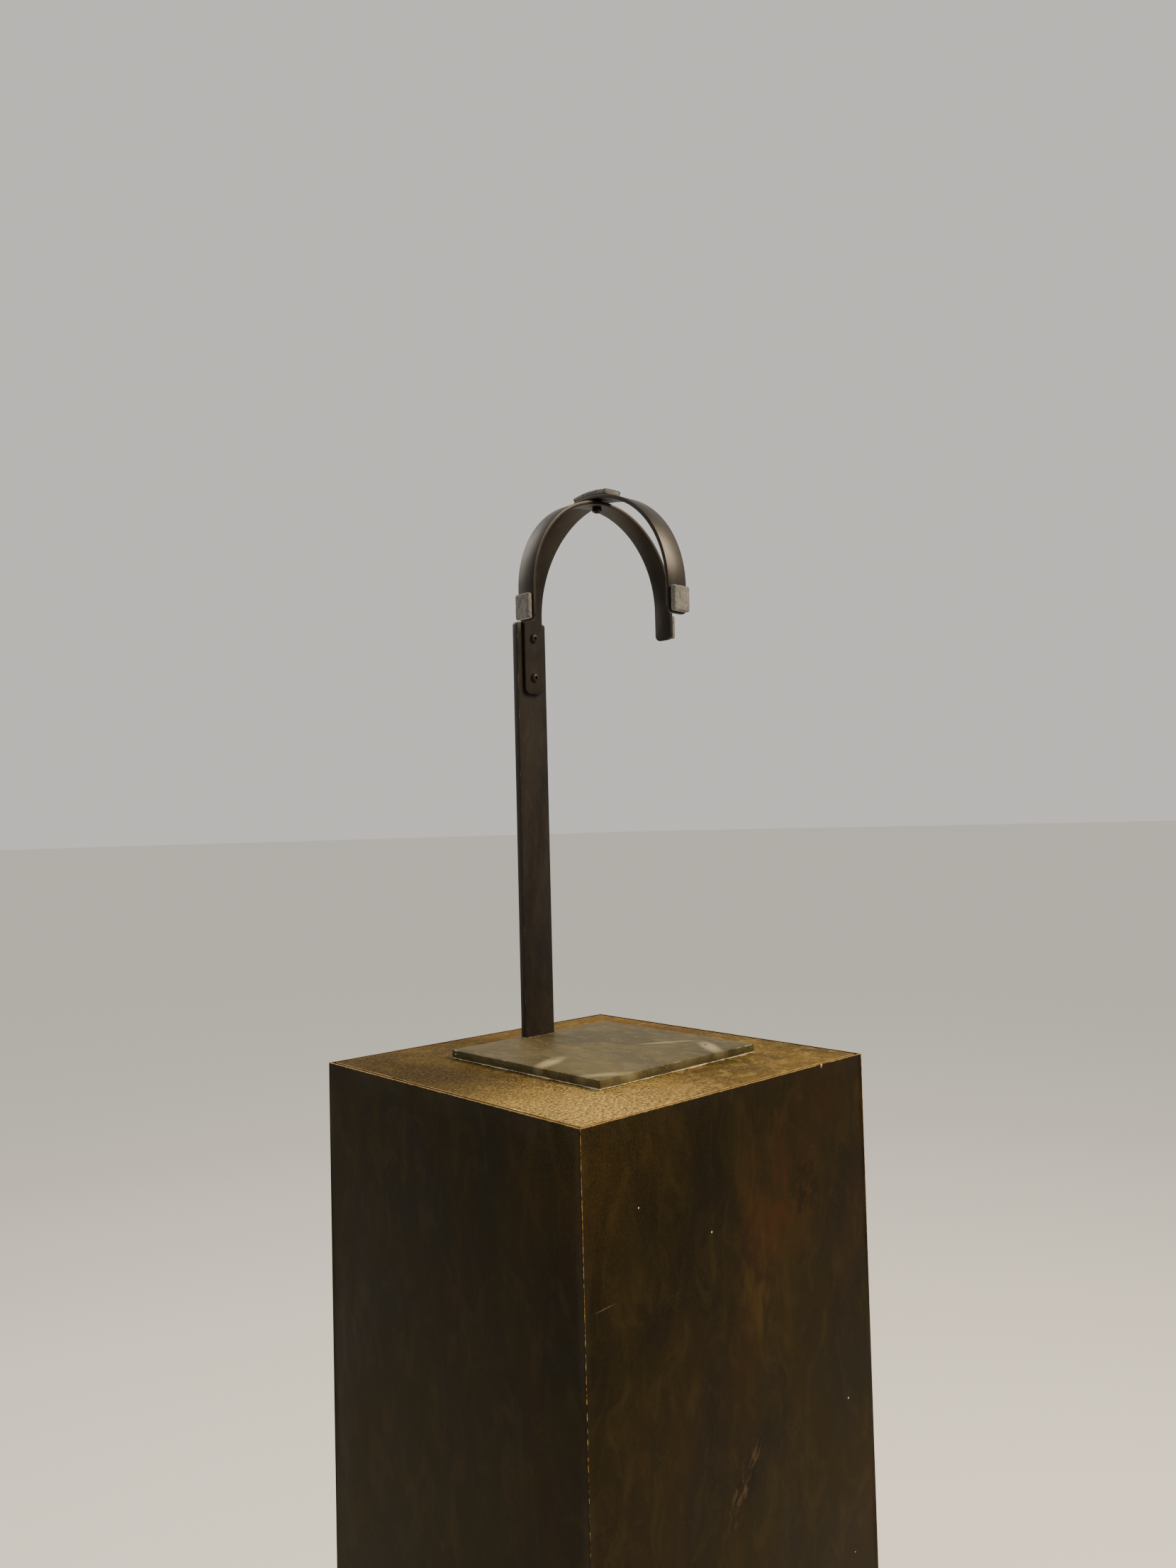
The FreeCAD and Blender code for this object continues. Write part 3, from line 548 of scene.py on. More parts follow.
# The front sheet's own marks: a feathered run, warm and dark patches, a scratch and a burr on the rim.
frontLook = dict(sideLook, marks=[
    ("#0b0804", (2, face, -264), (58, 40, 19), (-53, 0), 0.85, (3.2, 0.46, 0.58)),
    ("#54442a", (-6, face, -270), (44, 40, 13), (-53, 0), 0.55, (3.6, 0.5, 0.62)),
    ("#3a1f0c", (40, face, -85), (60, 40, 75), (0, 0), 0.6, (1.6, 0.36, 0.64)),
    ("#120b04", (72, face, -88), (24, 40, 34), (20, 0), 0.75, (3.4, 0.46, 0.56)),
    ("#443414", (19, face, -136), (34, 40, 70), (0, 0), 0.5, (1.9, 0.42, 0.66)),
    ("#85744c", (-133, face, -113), (12, 40, 0.5), (-3, 0), 0.6, (5.0, 0.4, 0.56)),
    ("#c9b585", (98, face, -1.2), (1.1, 40, 2.6), (25, 0), 0.9, None),
])
# The same sheet on the lid, painted a lighter tan than the sides, partly for dust and partly as painted
# light from above: matt, and lightest at the near corner, where dust and a painted pool of light lie.
lidLook = {
    "dark": "#30270e", "middle": "#54451d", "warm": "#4a3015", "pale": "#cbae70", "bare": "#d9b56e",
    "speck": "#e0d6bb",
    "clouds": (52, even), "streaks": (30, (0.35, 1, 1)), "mottle": (12, even), "grain": (2.4, even),
    "warmShare": 0.4, "mottleShare": 0.18,
    # heaviest at the near corner: dust, and a painted pool of light
    "dustAndLightSpot": (-0.115, -0.13, rimHeight), "dustAndLightReachMm": 150, "dustAndLightElsewhere": 0.14, "dustAndLightShare": 0.9,
    "speckEveryMm": 26, "speckMm": 0.6, "roughLow": 0.46, "roughHigh": 0.62, "metallic": 0.12,
    "sheenLevel": 0.01, "waveMm": 0.3, "gritDeepMm": 0.12,
    "wear": {"mm": 0.5, "patchMm": 24, "from": 0.2, "to": 0.5},
    "marks": [
        ("#4c3716", (30, 135, onTop), (160, 50, 60), (0, 0), 0.8, (2.4, 0.36, 0.58)),
        ("#432a12", (130, 60, onTop), (36, 95, 60), (0, 0), 0.85, (1.8, 0.34, 0.56)),
        # painted shade: the left of the lid made near black
        ("#1d1505", (-125, 70, onTop), (95, 165, 60), (0, 0), 0.95, (1.4, 0.1, 0.5)),
        # painted shadow: a dark band across the near left of the lid
        ("#3d3012", (-120, -58, onTop), (44, 11, 60), (0, -48), 0.8, (1.2, 0.2, 0.5)),
    ],
}
# Mild steel plate toned grey-olive and oiled: satin, with pale patches of painted reflected light, drawn as
# smears.
plateLook = {
    "dark": "#37331f", "middle": "#504930", "warm": "#4a3d22", "pale": "#8b8160", "bare": "#c4b893",
    "speck": "#d8d3c0",
    "clouds": (48, (1, 0.7, 1)), "streaks": (22, (1, 0.4, 1)), "mottle": (13, (1, 0.6, 1)),
    "grain": (1.1, even), "warmShare": 0.4, "mottleShare": 0.2,
    "dustAndLightSpot": (-0.03, -0.03, rimHeight), "dustAndLightReachMm": 110, "dustAndLightElsewhere": 0.35, "dustAndLightShare": 0.45,
    "speckEveryMm": 24, "speckMm": 0.55, "roughLow": 0.42, "roughHigh": 0.56, "metallic": 0.28,
    "sheenLevel": 0.07, "waveMm": 0.2, "gritDeepMm": 0.06,
    "wear": {"mm": 0.6, "patchMm": 15, "from": 0.46, "to": 0.64},
    "marks": [
        # painted reflected light: pale patches shaped like smears
        ("#9a9070", (-56, -13, onPlate), (30, 10, 20), (0, 24), 0.85, (1.0, 0.3, 0.44)),
        ("#958b6b", (58, -26, onPlate), (34, 4.5, 20), (0, -29), 0.7, (1.6, 0.34, 0.46)),
        ("#9a9070", (67, -65, onPlate), (32, 9, 20), (0, 57), 0.85, (1.4, 0.32, 0.46)),
        ("#8f8564", (-56, -76, onPlate), (32, 8, 20), (0, -30), 0.75, (1.4, 0.32, 0.48)),
    ],
}
# Mild steel chemically blackened and waxed: the post, straps and screws, satin with brown hazes.
blackLook = {
    "dark": "#0f0c08", "middle": "#1a150e", "warm": "#22170d", "pale": "#40362a", "bare": "#6f665a",
    "speck": "#8f877a",
    "clouds": (34, (1, 1, 0.4)), "streaks": (7, (1, 1, 0.06)), "mottle": (6, (1, 1, 0.3)),
    "grain": (0.9, even), "warmShare": 0.5, "mottleShare": 0.15,
    "dustAndLightSpot": (0.012, 0.08, rimHeight), "dustAndLightReachMm": 60, "dustAndLightElsewhere": 0.2, "dustAndLightShare": 0.4,
    "speckEveryMm": 24, "speckMm": 0.3, "roughLow": 0.34, "roughHigh": 0.5, "metallic": 0.4,
    "sheenLevel": 0.3, "waveMm": 0.1, "gritDeepMm": 0.04,
    "wear": {"mm": 0.4, "patchMm": 16, "from": 0.46, "to": 0.68},
}

plinthBlock = blockOf((cadLow.x, cadLow.y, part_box("skin_front")[0].z), (cadHigh.x, cadHigh.y, rimHeight))
frontPatina = patinated("darkened waxed brass sheet, front", frontLook, plinthBlock)
sidePatina = patinated("darkened waxed brass sheet", sideLook, plinthBlock)
lidPatina = patinated("tan brass sheet with dust and painted light", lidLook, blockOf(*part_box("top_sheet")))
plateSteel = patinated("toned mild steel plate", plateLook, onMount("mount_plate"))
postSteel = patinated("blackened steel bar", blackLook, onMount("post"))
strapSteel = patinated("blackened steel strap", blackLook)


def simpleFinish(name, look):
    # one material with uneven colour and gloss and a fine grain
    material, tree, shader = newMaterial(name)
    place = addNode(tree, "TexCoord", {}, {}).outputs["Object"]
    broad = addNode(tree, "TexNoise", {}, {"Vector": place, "Scale": perMm(look["broadMm"]), "Detail": 4,
                                           "Roughness": 0.6}).outputs[0]
    fine = addNode(tree, "TexNoise", {}, {"Vector": place, "Scale": perMm(look["fineMm"]), "Detail": 3,
                                          "Roughness": 0.65}).outputs[0]
    both = addNode(tree, "Mix", {}, {0: look["fineShare"], 2: broad, 3: fine}).outputs[0]
    share = addNode(tree, "MapRange", smoothly,
                    {"Value": both, "From Min": 0.36, "From Max": 0.64}).outputs[0]
    colour = addNode(tree, "Mix", inColour, {0: share, 6: hexColour(look["dark"]),
                                                          7: hexColour(look["light"])}).outputs[2]
    gloss = addNode(tree, "MapRange", {},
                    {"Value": broad, "From Min": 0.3, "From Max": 0.7, "To Min": look["roughLow"],
                     "To Max": look["roughHigh"]}).outputs[0]
    bump = addNode(tree, "Bump", {}, {"Height": fine, "Strength": 0.7,
                                      "Distance": look["deepMm"] * mm}).outputs[0]
    tree.links.new(colour, shader.inputs["Base Color"])
    tree.links.new(gloss, shader.inputs["Roughness"])
    tree.links.new(bump, shader.inputs["Normal"])
    shader.inputs["Metallic"].default_value = look["metallic"]
    shader.inputs["Sheen Weight"].default_value = look.get("sheen", 0.0)
    return material


# Bright zinc plate: silvery with a faint spangle and soft gloss.
zincPlate = simpleFinish("bright zinc plate", {
    "dark": "#8d9194", "light": "#b9bcbd", "broadMm": 6, "fineMm": 0.8, "fineShare": 0.35,
    "roughLow": 0.26, "roughHigh": 0.42, "deepMm": 0.01, "metallic": 1.0})
# Hot-rolled steel, oiled: blue-grey mill scale, mottled.
millScale = simpleFinish("oiled mill-scale steel", {
    "dark": "#26292c", "light": "#4a4b4c", "broadMm": 28, "fineMm": 2.0, "fineShare": 0.35,
    "roughLow": 0.3, "roughHigh": 0.55, "deepMm": 0.05, "metallic": 0.8})
# Brazing run, blackened with the post: dark brown, lumpy.
tonedBraze = simpleFinish("toned brazing bead", {
    "dark": "#1b150d", "light": "#3f3120", "broadMm": 3, "fineMm": 0.7, "fineShare": 0.4,
    "roughLow": 0.35, "roughHigh": 0.5, "deepMm": 0.06, "metallic": 0.8})
# Polyester isolating film: a cream sheet whose cut edge catches the light.
creamFilm = simpleFinish("cream isolating film", {
    "dark": "#8d7f5e", "light": "#e2d6b4", "broadMm": 5, "fineMm": 0.9, "fineShare": 0.5,
    "roughLow": 0.45, "roughHigh": 0.6, "deepMm": 0.04, "metallic": 0.0})
# Moulded nylon: dull black with a fine spark-eroded texture.
blackNylon = simpleFinish("black moulded nylon", {
    "dark": "#131315", "light": "#212225", "broadMm": 10, "fineMm": 0.5, "fineShare": 0.5,
    "roughLow": 0.45, "roughHigh": 0.6, "deepMm": 0.03, "metallic": 0.0})
# Pressed wool felt, 5 mm: grey heather, hairy, with no gloss.
greyFelt = simpleFinish("pressed grey wool felt", {
    "dark": "#2f2e2d", "light": "#66635f", "broadMm": 5, "fineMm": 0.7, "fineShare": 0.6,
    "roughLow": 0.9, "roughHigh": 1.0, "deepMm": 0.25, "metallic": 0.0, "sheen": 0.35})


def drawnOut(along, share):
    # a stretch that draws a wood's grain out along one axis
    return [share if axis == along else 1 for axis in range(3)]


plyLook = {"plyMm": 1.4, "pale": "#cdb185", "tan": "#b5915f", "end": "#8d6a41", "grainMm": 5.0,
           "poreMm": 0.7, "drawn": 0.05, "rough": 0.62}


def plywood(name, across, along, outer):
    # birch ply: pale grain on the faces, and alternate long-grain and end-grain plies on the edges
    material, tree, shader = newMaterial(name)
    place = addNode(tree, "TexCoord", {}, {}).outputs["Object"]
    grainPlace = addNode(tree, "Mapping", {},
                         {"Vector": place, "Scale": drawnOut(along, plyLook["drawn"])}).outputs[0]
    grain = addNode(tree, "TexNoise", {}, {"Vector": grainPlace, "Scale": perMm(plyLook["grainMm"]),
                                           "Detail": 6, "Roughness": 0.6, "Distortion": 0.5}).outputs[0]
    pores = addNode(tree, "TexNoise", {}, {"Vector": place, "Scale": perMm(plyLook["poreMm"]),
                                           "Detail": 2}).outputs[0]
    share = addNode(tree, "MapRange", smoothly,
                    {"Value": grain, "From Min": 0.35, "From Max": 0.65}).outputs[0]
    surface = addNode(tree, "Mix", inColour, {0: share, 6: hexColour(plyLook["tan"]),
                                                           7: hexColour(plyLook["pale"])}).outputs[2]
    # plies are counted in from the outer face, two at a time
    inward = addNode(tree, "SeparateXYZ", {}, {0: place}).outputs[across]
    depth = addNode(tree, "Math", {"operation": "SUBTRACT"}, {0: inward, 1: outer - 0.05 * mm}).outputs[0]
    plies = addNode(tree, "Math", {"operation": "DIVIDE"},
                    {0: depth, 1: 2 * plyLook["plyMm"] * mm}).outputs[0]
    turnOf = addNode(tree, "Math", {"operation": "FRACT"}, {0: plies}).outputs[0]
    crossPly = addNode(tree, "Math", {"operation": "GREATER_THAN"}, {0: turnOf, 1: 0.5}).outputs[0]
    openPores = addNode(tree, "MapRange", {}, {"Value": pores, "From Min": 0.4, "From Max": 0.65,
                                               "To Min": 0.55, "To Max": 1.0}).outputs[0]
    crossShare = addNode(tree, "Math", {"operation": "MULTIPLY"}, {0: crossPly, 1: openPores}).outputs[0]
    colour = addNode(tree, "Mix", inColour, {0: crossShare, 6: surface,
                                                          7: hexColour(plyLook["end"])}).outputs[2]
    bump = addNode(tree, "Bump", {}, {"Height": grain, "Strength": 0.5, "Distance": 0.1 * mm}).outputs[0]
    tree.links.new(colour, shader.inputs["Base Color"])
    tree.links.new(bump, shader.inputs["Normal"])
    shader.inputs["Roughness"].default_value = plyLook["rough"]
    return material


pineLook = {"pale": "#d6b882", "late": "#a8763f", "bandMm": 7, "fibreMm": 1.2, "drawn": 0.04, "rough": 0.66}


def softwood(name, along):
    # planed pine: straw with darker bands of latewood running the length
    material, tree, shader = newMaterial(name)
    place = addNode(tree, "TexCoord", {}, {}).outputs["Object"]
    grainPlace = addNode(tree, "Mapping", {},
                         {"Vector": place, "Scale": drawnOut(along, pineLook["drawn"])}).outputs[0]
    # a wave repeats every 2 pi over 20 of a unit at scale 1
    rings = addNode(tree, "TexWave", {"wave_type": "RINGS", "rings_direction": "XYZ"[along]},
                    {"Vector": grainPlace, "Scale": 0.314 * perMm(pineLook["bandMm"]), "Distortion": 3.5,
                     "Detail": 3, "Detail Scale": 1.4}).outputs["Fac"]
    fibre = addNode(tree, "TexNoise", {}, {"Vector": grainPlace, "Scale": perMm(pineLook["fibreMm"]),
                                           "Detail": 4}).outputs[0]
    share = addNode(tree, "Math", {"operation": "MULTIPLY"}, {0: rings, 1: fibre}).outputs[0]
    band = addNode(tree, "MapRange", smoothly,
                   {"Value": share, "From Min": 0.12, "From Max": 0.6, "To Max": 0.75}).outputs[0]
    colour = addNode(tree, "Mix", inColour, {0: band, 6: hexColour(pineLook["pale"]),
                                                          7: hexColour(pineLook["late"])}).outputs[2]
    bump = addNode(tree, "Bump", {}, {"Height": fibre, "Strength": 0.5, "Distance": 0.12 * mm}).outputs[0]
    tree.links.new(colour, shader.inputs["Base Color"])
    tree.links.new(bump, shader.inputs["Normal"])
    shader.inputs["Roughness"].default_value = pineLook["rough"]
    return material


print("materials ready")

# In the shapes below, a wear is its size and most depth in mm, and its contrast.
onFace = 0.01 * mm      # how near to a face its own points lie
sheetShape = {"arrisMm": 0.35, "acrossMm": 6, "upMm": 20, "rimMm": 0.5, "ripple": (90, 0.35, 1.8),
              "rimWear": (9, 0.12, 3), "nickAtMm": 98, "nickWideMm": 4, "nickMoveMm": (0.4, 0.5, -0.8)}


def makeSideSheet(side, material):
    node = "skin_" + side
    low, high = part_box(node)
    thin = 1 if side in ("front", "back") else 0
    wide = 1 - thin
    outer = low[thin] if side in ("front", "left") else high[thin]
    rim = sheetShape["rimMm"] * mm
    piece = startCube("side_sheet_" + side, low, high)
    bevelArrises(piece, sheetShape["arrisMm"] * mm)
    divideAlong(piece, wide, high[wide] - low[wide], sheetShape["acrossMm"] * mm)
    divideAlong(piece, 2, high.z - low.z, sheetShape["upMm"] * mm)
    # the sheet isn't dead flat, and its rim is rubbed uneven
    roughen(piece, lambda co: abs(co[thin] - outer) < onFace, sheetShape["ripple"])
    roughen(piece, lambda co: co.z > high.z - rim and abs(co[thin] - outer) < rim, sheetShape["rimWear"])
    if side == "front":
        # a nick in the rim
        nickAt, nickWide = sheetShape["nickAtMm"] * mm, sheetShape["nickWideMm"] * mm
        edit(piece)
        choose(piece, "verts", lambda v: abs(v.co.x - nickAt) < nickWide and v.co.z > high.z - rim
               and v.co.y < outer + rim)
        bpy.ops.transform.translate(value=[move * mm for move in sheetShape["nickMoveMm"]])
        leave()
    settle(piece, material, "side_patina", "carcass", node)


for side in ("front", "back", "left", "right"):
    makeSideSheet(side, frontPatina if side == "front" else sidePatina)
print("side sheets ready")

capShape = {"radiusMm": 5, "headMm": 6, "easeMm": 0.5, "shankMm": 3, "tipMm": 0.6, "socketMm": 2.9,
            "socketDeepMm": 3.2, "washerMm": 7, "washerBoreMm": 3.2}
boltLow, boltHigh = mountBox("mount_bolts")
capRadius = capShape["radiusMm"] * mm
boltSpots = [Vector((x, y, 0)) for x in (boltLow.x + capRadius, boltHigh.x - capRadius)
             for y in (boltLow.y + capRadius, boltHigh.y - capRadius)]

lidShape = {"arrisMm": 0.35, "gridMm": 6, "edgeMm": 0.4, "ripple": (70, 0.12, 1.8), "edgeWear": (9, 0.12, 3),
            "holeMm": 3.3}


def makeLidSheet():
    low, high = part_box("top_sheet")
    top = high.z - onFace
    piece = startCube("lid_sheet", low, high)
    bevelArrises(piece, lidShape["arrisMm"] * mm)
    for axis in (0, 1):
        divideAlong(piece, axis, high[axis] - low[axis], lidShape["gridMm"] * mm)
    roughen(piece, lambda co: co.z > top, lidShape["ripple"])
    roughen(piece, lambda co: high.z - lidShape["edgeMm"] * mm < co.z < top, lidShape["edgeWear"])
    for spot in boltSpots:
        shapeWith(piece, startRound("boltHole", lidShape["holeMm"] * mm, low.z - mm, high.z + mm, 24,
                                    onPlinth(spot)))
    settle(piece, lidPatina, "top_patina", "lid", "top_sheet")


plateShape = {"cornerMm": 0.9, "arrisMm": 0.4, "gridMm": 2.5, "arrisWear": (11, 0.25, 4),
              "deepWear": (3, 0.12, 2), "tappedMm": 3.05, "coverMm": 1.4}


def makeBasePlate():
    low, high = mountBox("mount_plate")
    arris = plateShape["arrisMm"] * mm
    piece = startCube("mount_base_plate", low, high)
    edit(piece)
    choose(piece, "edges", lambda e: runsAlong(e, 2))
    bevelChosen(plateShape["cornerMm"] * mm, 3)
    leave()
    bevelArrises(piece, arris)
    for axis in (0, 1):
        divideAlong(piece, axis, high[axis] - low[axis], plateShape["gridMm"] * mm)
    # the upper arris is rubbed uneven, down its bevel and along the rim of the top
    top = high.z - onFace
    roughen(piece, lambda co: high.z - 1.05 * arris < co.z < top
            or (co.z > top and max(abs(co.x), abs(co.y)) > high.x - 1.5 * arris), plateShape["arrisWear"])
    # and it is rougher where it wore below its bevel
    below = 1.125 * arris
    roughen(piece, lambda co: low.z + below < co.z < high.z - below, plateShape["deepWear"])
    for spot in boltSpots:
        shapeWith(piece, startRound("tappedHole", plateShape["tappedMm"] * mm, low.z - mm,
                                    high.z - plateShape["coverMm"] * mm, 24, spot))
    settle(ontoMount(piece), plateSteel, "plate_steel", "lid", "mount_plate")


filmShape = {"gridMm": 2, "rimMm": 0.05, "rimWear": (9, 0.9, 2.5)}


def makeFilm():
    low, high = mountBox("mount_pad")
    piece = startCube("mount_film", low, high)
    for axis in (0, 1):
        divideAlong(piece, axis, high[axis] - low[axis], filmShape["gridMm"] * mm)
    rim = min(high.x, high.y) - filmShape["rimMm"] * mm
    roughen(piece, lambda co: max(abs(co.x), abs(co.y)) > rim, filmShape["rimWear"])
    settle(ontoMount(piece), creamFilm, "pad_film", "lid", "mount_pad")


postShape = {"cornerMm": 2.5, "arrisMm": 0.45, "upMm": 8}
buttonShape = {"radiusMm": 3.8, "highMm": 2.4, "sideMm": 0.55, "easeMm": 0.15, "flatMm": 1.5, "shankMm": 2,
               "tipMm": 0.4, "socketMm": 1.44, "socketDeepMm": 1.3, "holeMm": 2.1}
screwLow, screwHigh = mountBox("post_screws")
screwHeights = (screwLow.z + buttonShape["radiusMm"] * mm, screwHigh.z - buttonShape["radiusMm"] * mm)


def makePost():
    low, high = mountBox("post")
    middle = (low + high) / 2
    piece = startCube("post_bar", low, high)
    edit(piece)
    choose(piece, "edges", lambda e: runsAlong(e, 1) and middleOf(e).z > middle.z)
    bevelChosen(postShape["cornerMm"] * mm, 6)
    leave()
    bevelArrises(piece, postShape["arrisMm"] * mm)
    divideAlong(piece, 2, high.z - low.z, postShape["upMm"] * mm)
    for height in screwHeights:
        drillAlong(piece, 1, (middle.x, middle.y, height), buttonShape["holeMm"])
    settle(ontoMount(piece), postSteel, "black_steel", "lid", "post")
    return low, high


brazeShape = {"taperMm": 1.3, "cuts": (24, 8), "lumps": (2.5, 0.25, 2)}


def makeBraze(postLow, postHigh):
    low, high = mountBox("post_braze")
    middle = (low + high) / 2
    piece = startCube("post_braze_bead", low, high)
    edit(piece)
    choose(piece, "faces", lambda f: f.normal.z > 0.9)
    ratios = [1 - brazeShape["taperMm"] * mm / (high[axis] - low[axis]) for axis in (0, 1)]
    bpy.ops.transform.resize(value=(*ratios, 1), center_override=(middle.x, middle.y, high.z))
    for axis, cuts in enumerate(brazeShape["cuts"]):
        choose(piece, "edges", lambda e: runsAlong(e, axis))
        bpy.ops.mesh.subdivide(number_cuts=cuts)
    leave()
    roughen(piece, lambda co: co.z > low.z + 0.1 * mm, brazeShape["lumps"])
    shapeWith(piece, startCube("postRoom", (postLow.x, postLow.y, low.z - mm),
                               (postHigh.x, postHigh.y, high.z + mm)))
    settle(ontoMount(piece), tonedBraze, "braze_metal", "lid", "post_braze")


makeLidSheet()
makeBasePlate()
makeFilm()
makeBraze(*makePost())
print("lid sheet, plate and post ready")

strapShape = {"thickMm": 3, "arrisMm": 0.4, "steps": 60, "endRoundMm": 5, "frontLegMm": 22,
              "spacerMm": 3.8}


def makeStrap(name, node, legDrop, tailDrop):
    # a flat strip turned over a half circle, with straight legs at +X and -X
    low, high = mountBox(node)
    across = 0 if node == "cradle_crossbar" else 1
    outer = (high[across] - low[across]) / 2
    width = high[1 - across] - low[1 - across]
    inner = outer - strapShape["thickMm"] * mm
    endRound = strapShape["endRoundMm"] * mm
    piece = startCube(name, (inner, -width / 2, -tailDrop), (outer, width / 2, 0))
    edit(piece)
    choose(piece, "faces", lambda f: f.normal.z > 0.9)
    bpy.ops.mesh.spin(steps=strapShape["steps"], angle=math.pi, center=(0, 0, 0), axis=(0, 1, 0))
    bpy.ops.mesh.extrude_region_move(TRANSFORM_OT_translate={"value": (0, 0, -legDrop)})
    leave()
    closeUp(piece)
    edit(piece)
    choose(piece, "edges", lambda e: runsAlong(e, 0) and middleOf(e).z < -endRound)
    bevelChosen(endRound, 7)
    leave()
    bevelArrises(piece, strapShape["arrisMm"] * mm)
    middle = (low + high) / 2
    return moveTo(piece, (middle.x, middle.y, high.z - outer), (0, 0, math.pi / 2 * across))


def makeCradle():
    spineLow, spineHigh = mountBox("cradle_spine")
    barLow, barHigh = mountBox("cradle_crossbar")
    spineTail = spineHigh.z - (spineHigh.y - spineLow.y) / 2 - spineLow.z
    barDrop = barHigh.z - (barHigh.x - barLow.x) / 2 - barLow.z
    spine = makeStrap("cradle_spine_strap", "cradle_spine", strapShape["frontLegMm"] * mm, spineTail)
    bar = makeStrap("cradle_crossbar_strap", "cradle_crossbar", barDrop, barDrop)
    crown = Vector((0, (spineLow.y + spineHigh.y) / 2, spineHigh.z))
    for height in screwHeights:
        drillAlong(spine, 1, (0, spineHigh.y, height), buttonShape["holeMm"])
    for strap, node in ((spine, "cradle_spine"), (bar, "cradle_crossbar")):
        drillAlong(strap, 2, crown, buttonShape["holeMm"])
        settle(ontoMount(strap), strapSteel, "black_steel", "lid", node)
    return crown


crown = makeCradle()
print("cradle straps ready")


def makeButtonScrew(name, longMm):
    # button head up, with the underside of the head at height 0
    look = buttonShape
    sizes = ("radiusMm", "highMm", "sideMm", "flatMm", "easeMm", "shankMm", "tipMm")
    radius, high, side, flat, ease, shank, tip = (look[key] for key in sizes)
    profile = [(shank - tip, -longMm), (shank, tip - longMm), (shank, 0), (radius - ease, 0), (radius, ease),
               (radius, side)]
    for n in range(1, 7):
        angle = math.radians(15 * n - 4)
        profile.append((flat + (radius - flat) * math.cos(angle), side + (high - side) * math.sin(angle)))
    profile.append((flat, high))
    piece = turned(name, profile, 40)
    shapeWith(piece, startRound("socket", look["socketMm"] * mm, (high - look["socketDeepMm"]) * mm,
                                (high + 1) * mm, 6))
    return piece


nutShape = {"turnedShare": 0.96, "leadShare": 0.08, "smallAcrossMm": 7, "smallBoreMm": 2.05}


def makeNut(name, acrossMm, highMm, boreMm):
    # hexagon with turned corners at both faces, and a bore with a small lead-in
    flat = acrossMm / 2
    corner = flat / math.cos(math.radians(30))
    eased = nutShape["turnedShare"] * flat
    rise = (corner - eased) * math.tan(math.radians(30))
    lead = nutShape["leadShare"] * acrossMm
    piece = startRound(name, corner * mm, 0, highMm * mm, 6)
    shapeWith(piece, turned("rounder", [(eased, 0), (corner, rise), (corner, highMm - rise),
                                        (eased, highMm)], 64), "INTERSECT")
    shapeWith(piece, turned("bore", [(boreMm + lead, -0.5), (boreMm + lead, 0), (boreMm, lead),
                                     (boreMm, highMm - lead), (boreMm + lead, highMm),
                                     (boreMm + lead, highMm + 0.5)], 40))
    return piece


def makeRing(name, radiusMm, tallMm, boreMm, footMm, browMm, sides=40):
    # a washer or a spacer, its lower arris eased inwards and upwards and its upper one alike
    piece = turned(name, [(radiusMm - footMm[0], 0), (radiusMm, footMm[1]), (radiusMm, tallMm - browMm),
                          (radiusMm - browMm, tallMm)], sides)
    drillAlong(piece, 2, (0, 0, 0), boreMm)
    return piece


def makeCradleFixings():
    back = (math.pi / 2, 0, 0)
    head = buttonShape["highMm"]
    small = nutShape["smallAcrossMm"], nutShape["smallBoreMm"]
    model = makeButtonScrew("screwModel", (screwHigh.y - screwLow.y) / mm - head)
    places = [(0, screwLow.y + head * mm, height) for height in screwHeights]
    screws = copiesOf(model, "post_button_screws", places, back)
    nutLow, nutHigh = mountBox("post_nuts")
    model = makeNut("nutModel", small[0], (nutHigh.y - nutLow.y) / mm, small[1])
    nuts = copiesOf(model, "post_hex_nuts", [(0, nutHigh.y, height) for height in screwHeights], back)
    low, high = mountBox("crown_screw")
    screw = makeButtonScrew("crown_button_screw", (high.z - low.z) / mm - head)
    moveTo(screw, (crown.x, crown.y, high.z - head * mm))
    low, high = mountBox("crown_nut")
    nut = makeNut("crown_hex_nut", small[0], (high.z - low.z) / mm, small[1])
    moveTo(nut, (crown.x, crown.y, low.z))
    low, high = mountBox("crown_spacer")
    spacer = makeRing("crown_spacer_ring", strapShape["spacerMm"], (high.z - low.z) / mm,
                      buttonShape["holeMm"], (0.2, 0.2), 0.2)
    moveTo(spacer, (crown.x, crown.y, low.z))
    for piece, node in ((screws, "post_screws"), (nuts, "post_nuts"), (screw, "crown_screw"),
                        (nut, "crown_nut"), (spacer, "crown_spacer")):
        settle(ontoMount(piece), strapSteel, "black_steel", "lid", node)


def makeMountBolts():
    # socket cap screws from under the lid, with washers
    low, high = mountBox("mount_bolts")
    long = (high.z - low.z) / mm
    sizes = ("radiusMm", "headMm", "easeMm", "shankMm", "tipMm")
    radius, head, ease, shank, tip = (capShape[key] for key in sizes)
    model = turned("boltModel", [(radius - ease, 0), (radius, ease), (radius, head), (shank, head),
                                 (shank, long - tip), (shank - tip, long)], 40)
    shapeWith(model, startRound("socket", capShape["socketMm"] * mm, -mm, capShape["socketDeepMm"] * mm, 6))
    bolts = copiesOf(model, "mount_cap_screws", [(spot.x, spot.y, low.z) for spot in boltSpots])
    settle(ontoMount(bolts), zincPlate, "zinc_steel", "lid", "mount_bolts")
    low, high = mountBox("mount_washers")
    model = makeRing("washerModel", capShape["washerMm"], (high.z - low.z) / mm, capShape["washerBoreMm"],
                     (0.2, 0.2), 0.15)
    washers = copiesOf(model, "mount_washer_set", [(spot.x, spot.y, low.z) for spot in boltSpots])
    settle(ontoMount(washers), zincPlate, "zinc_steel", "lid", "mount_washers")


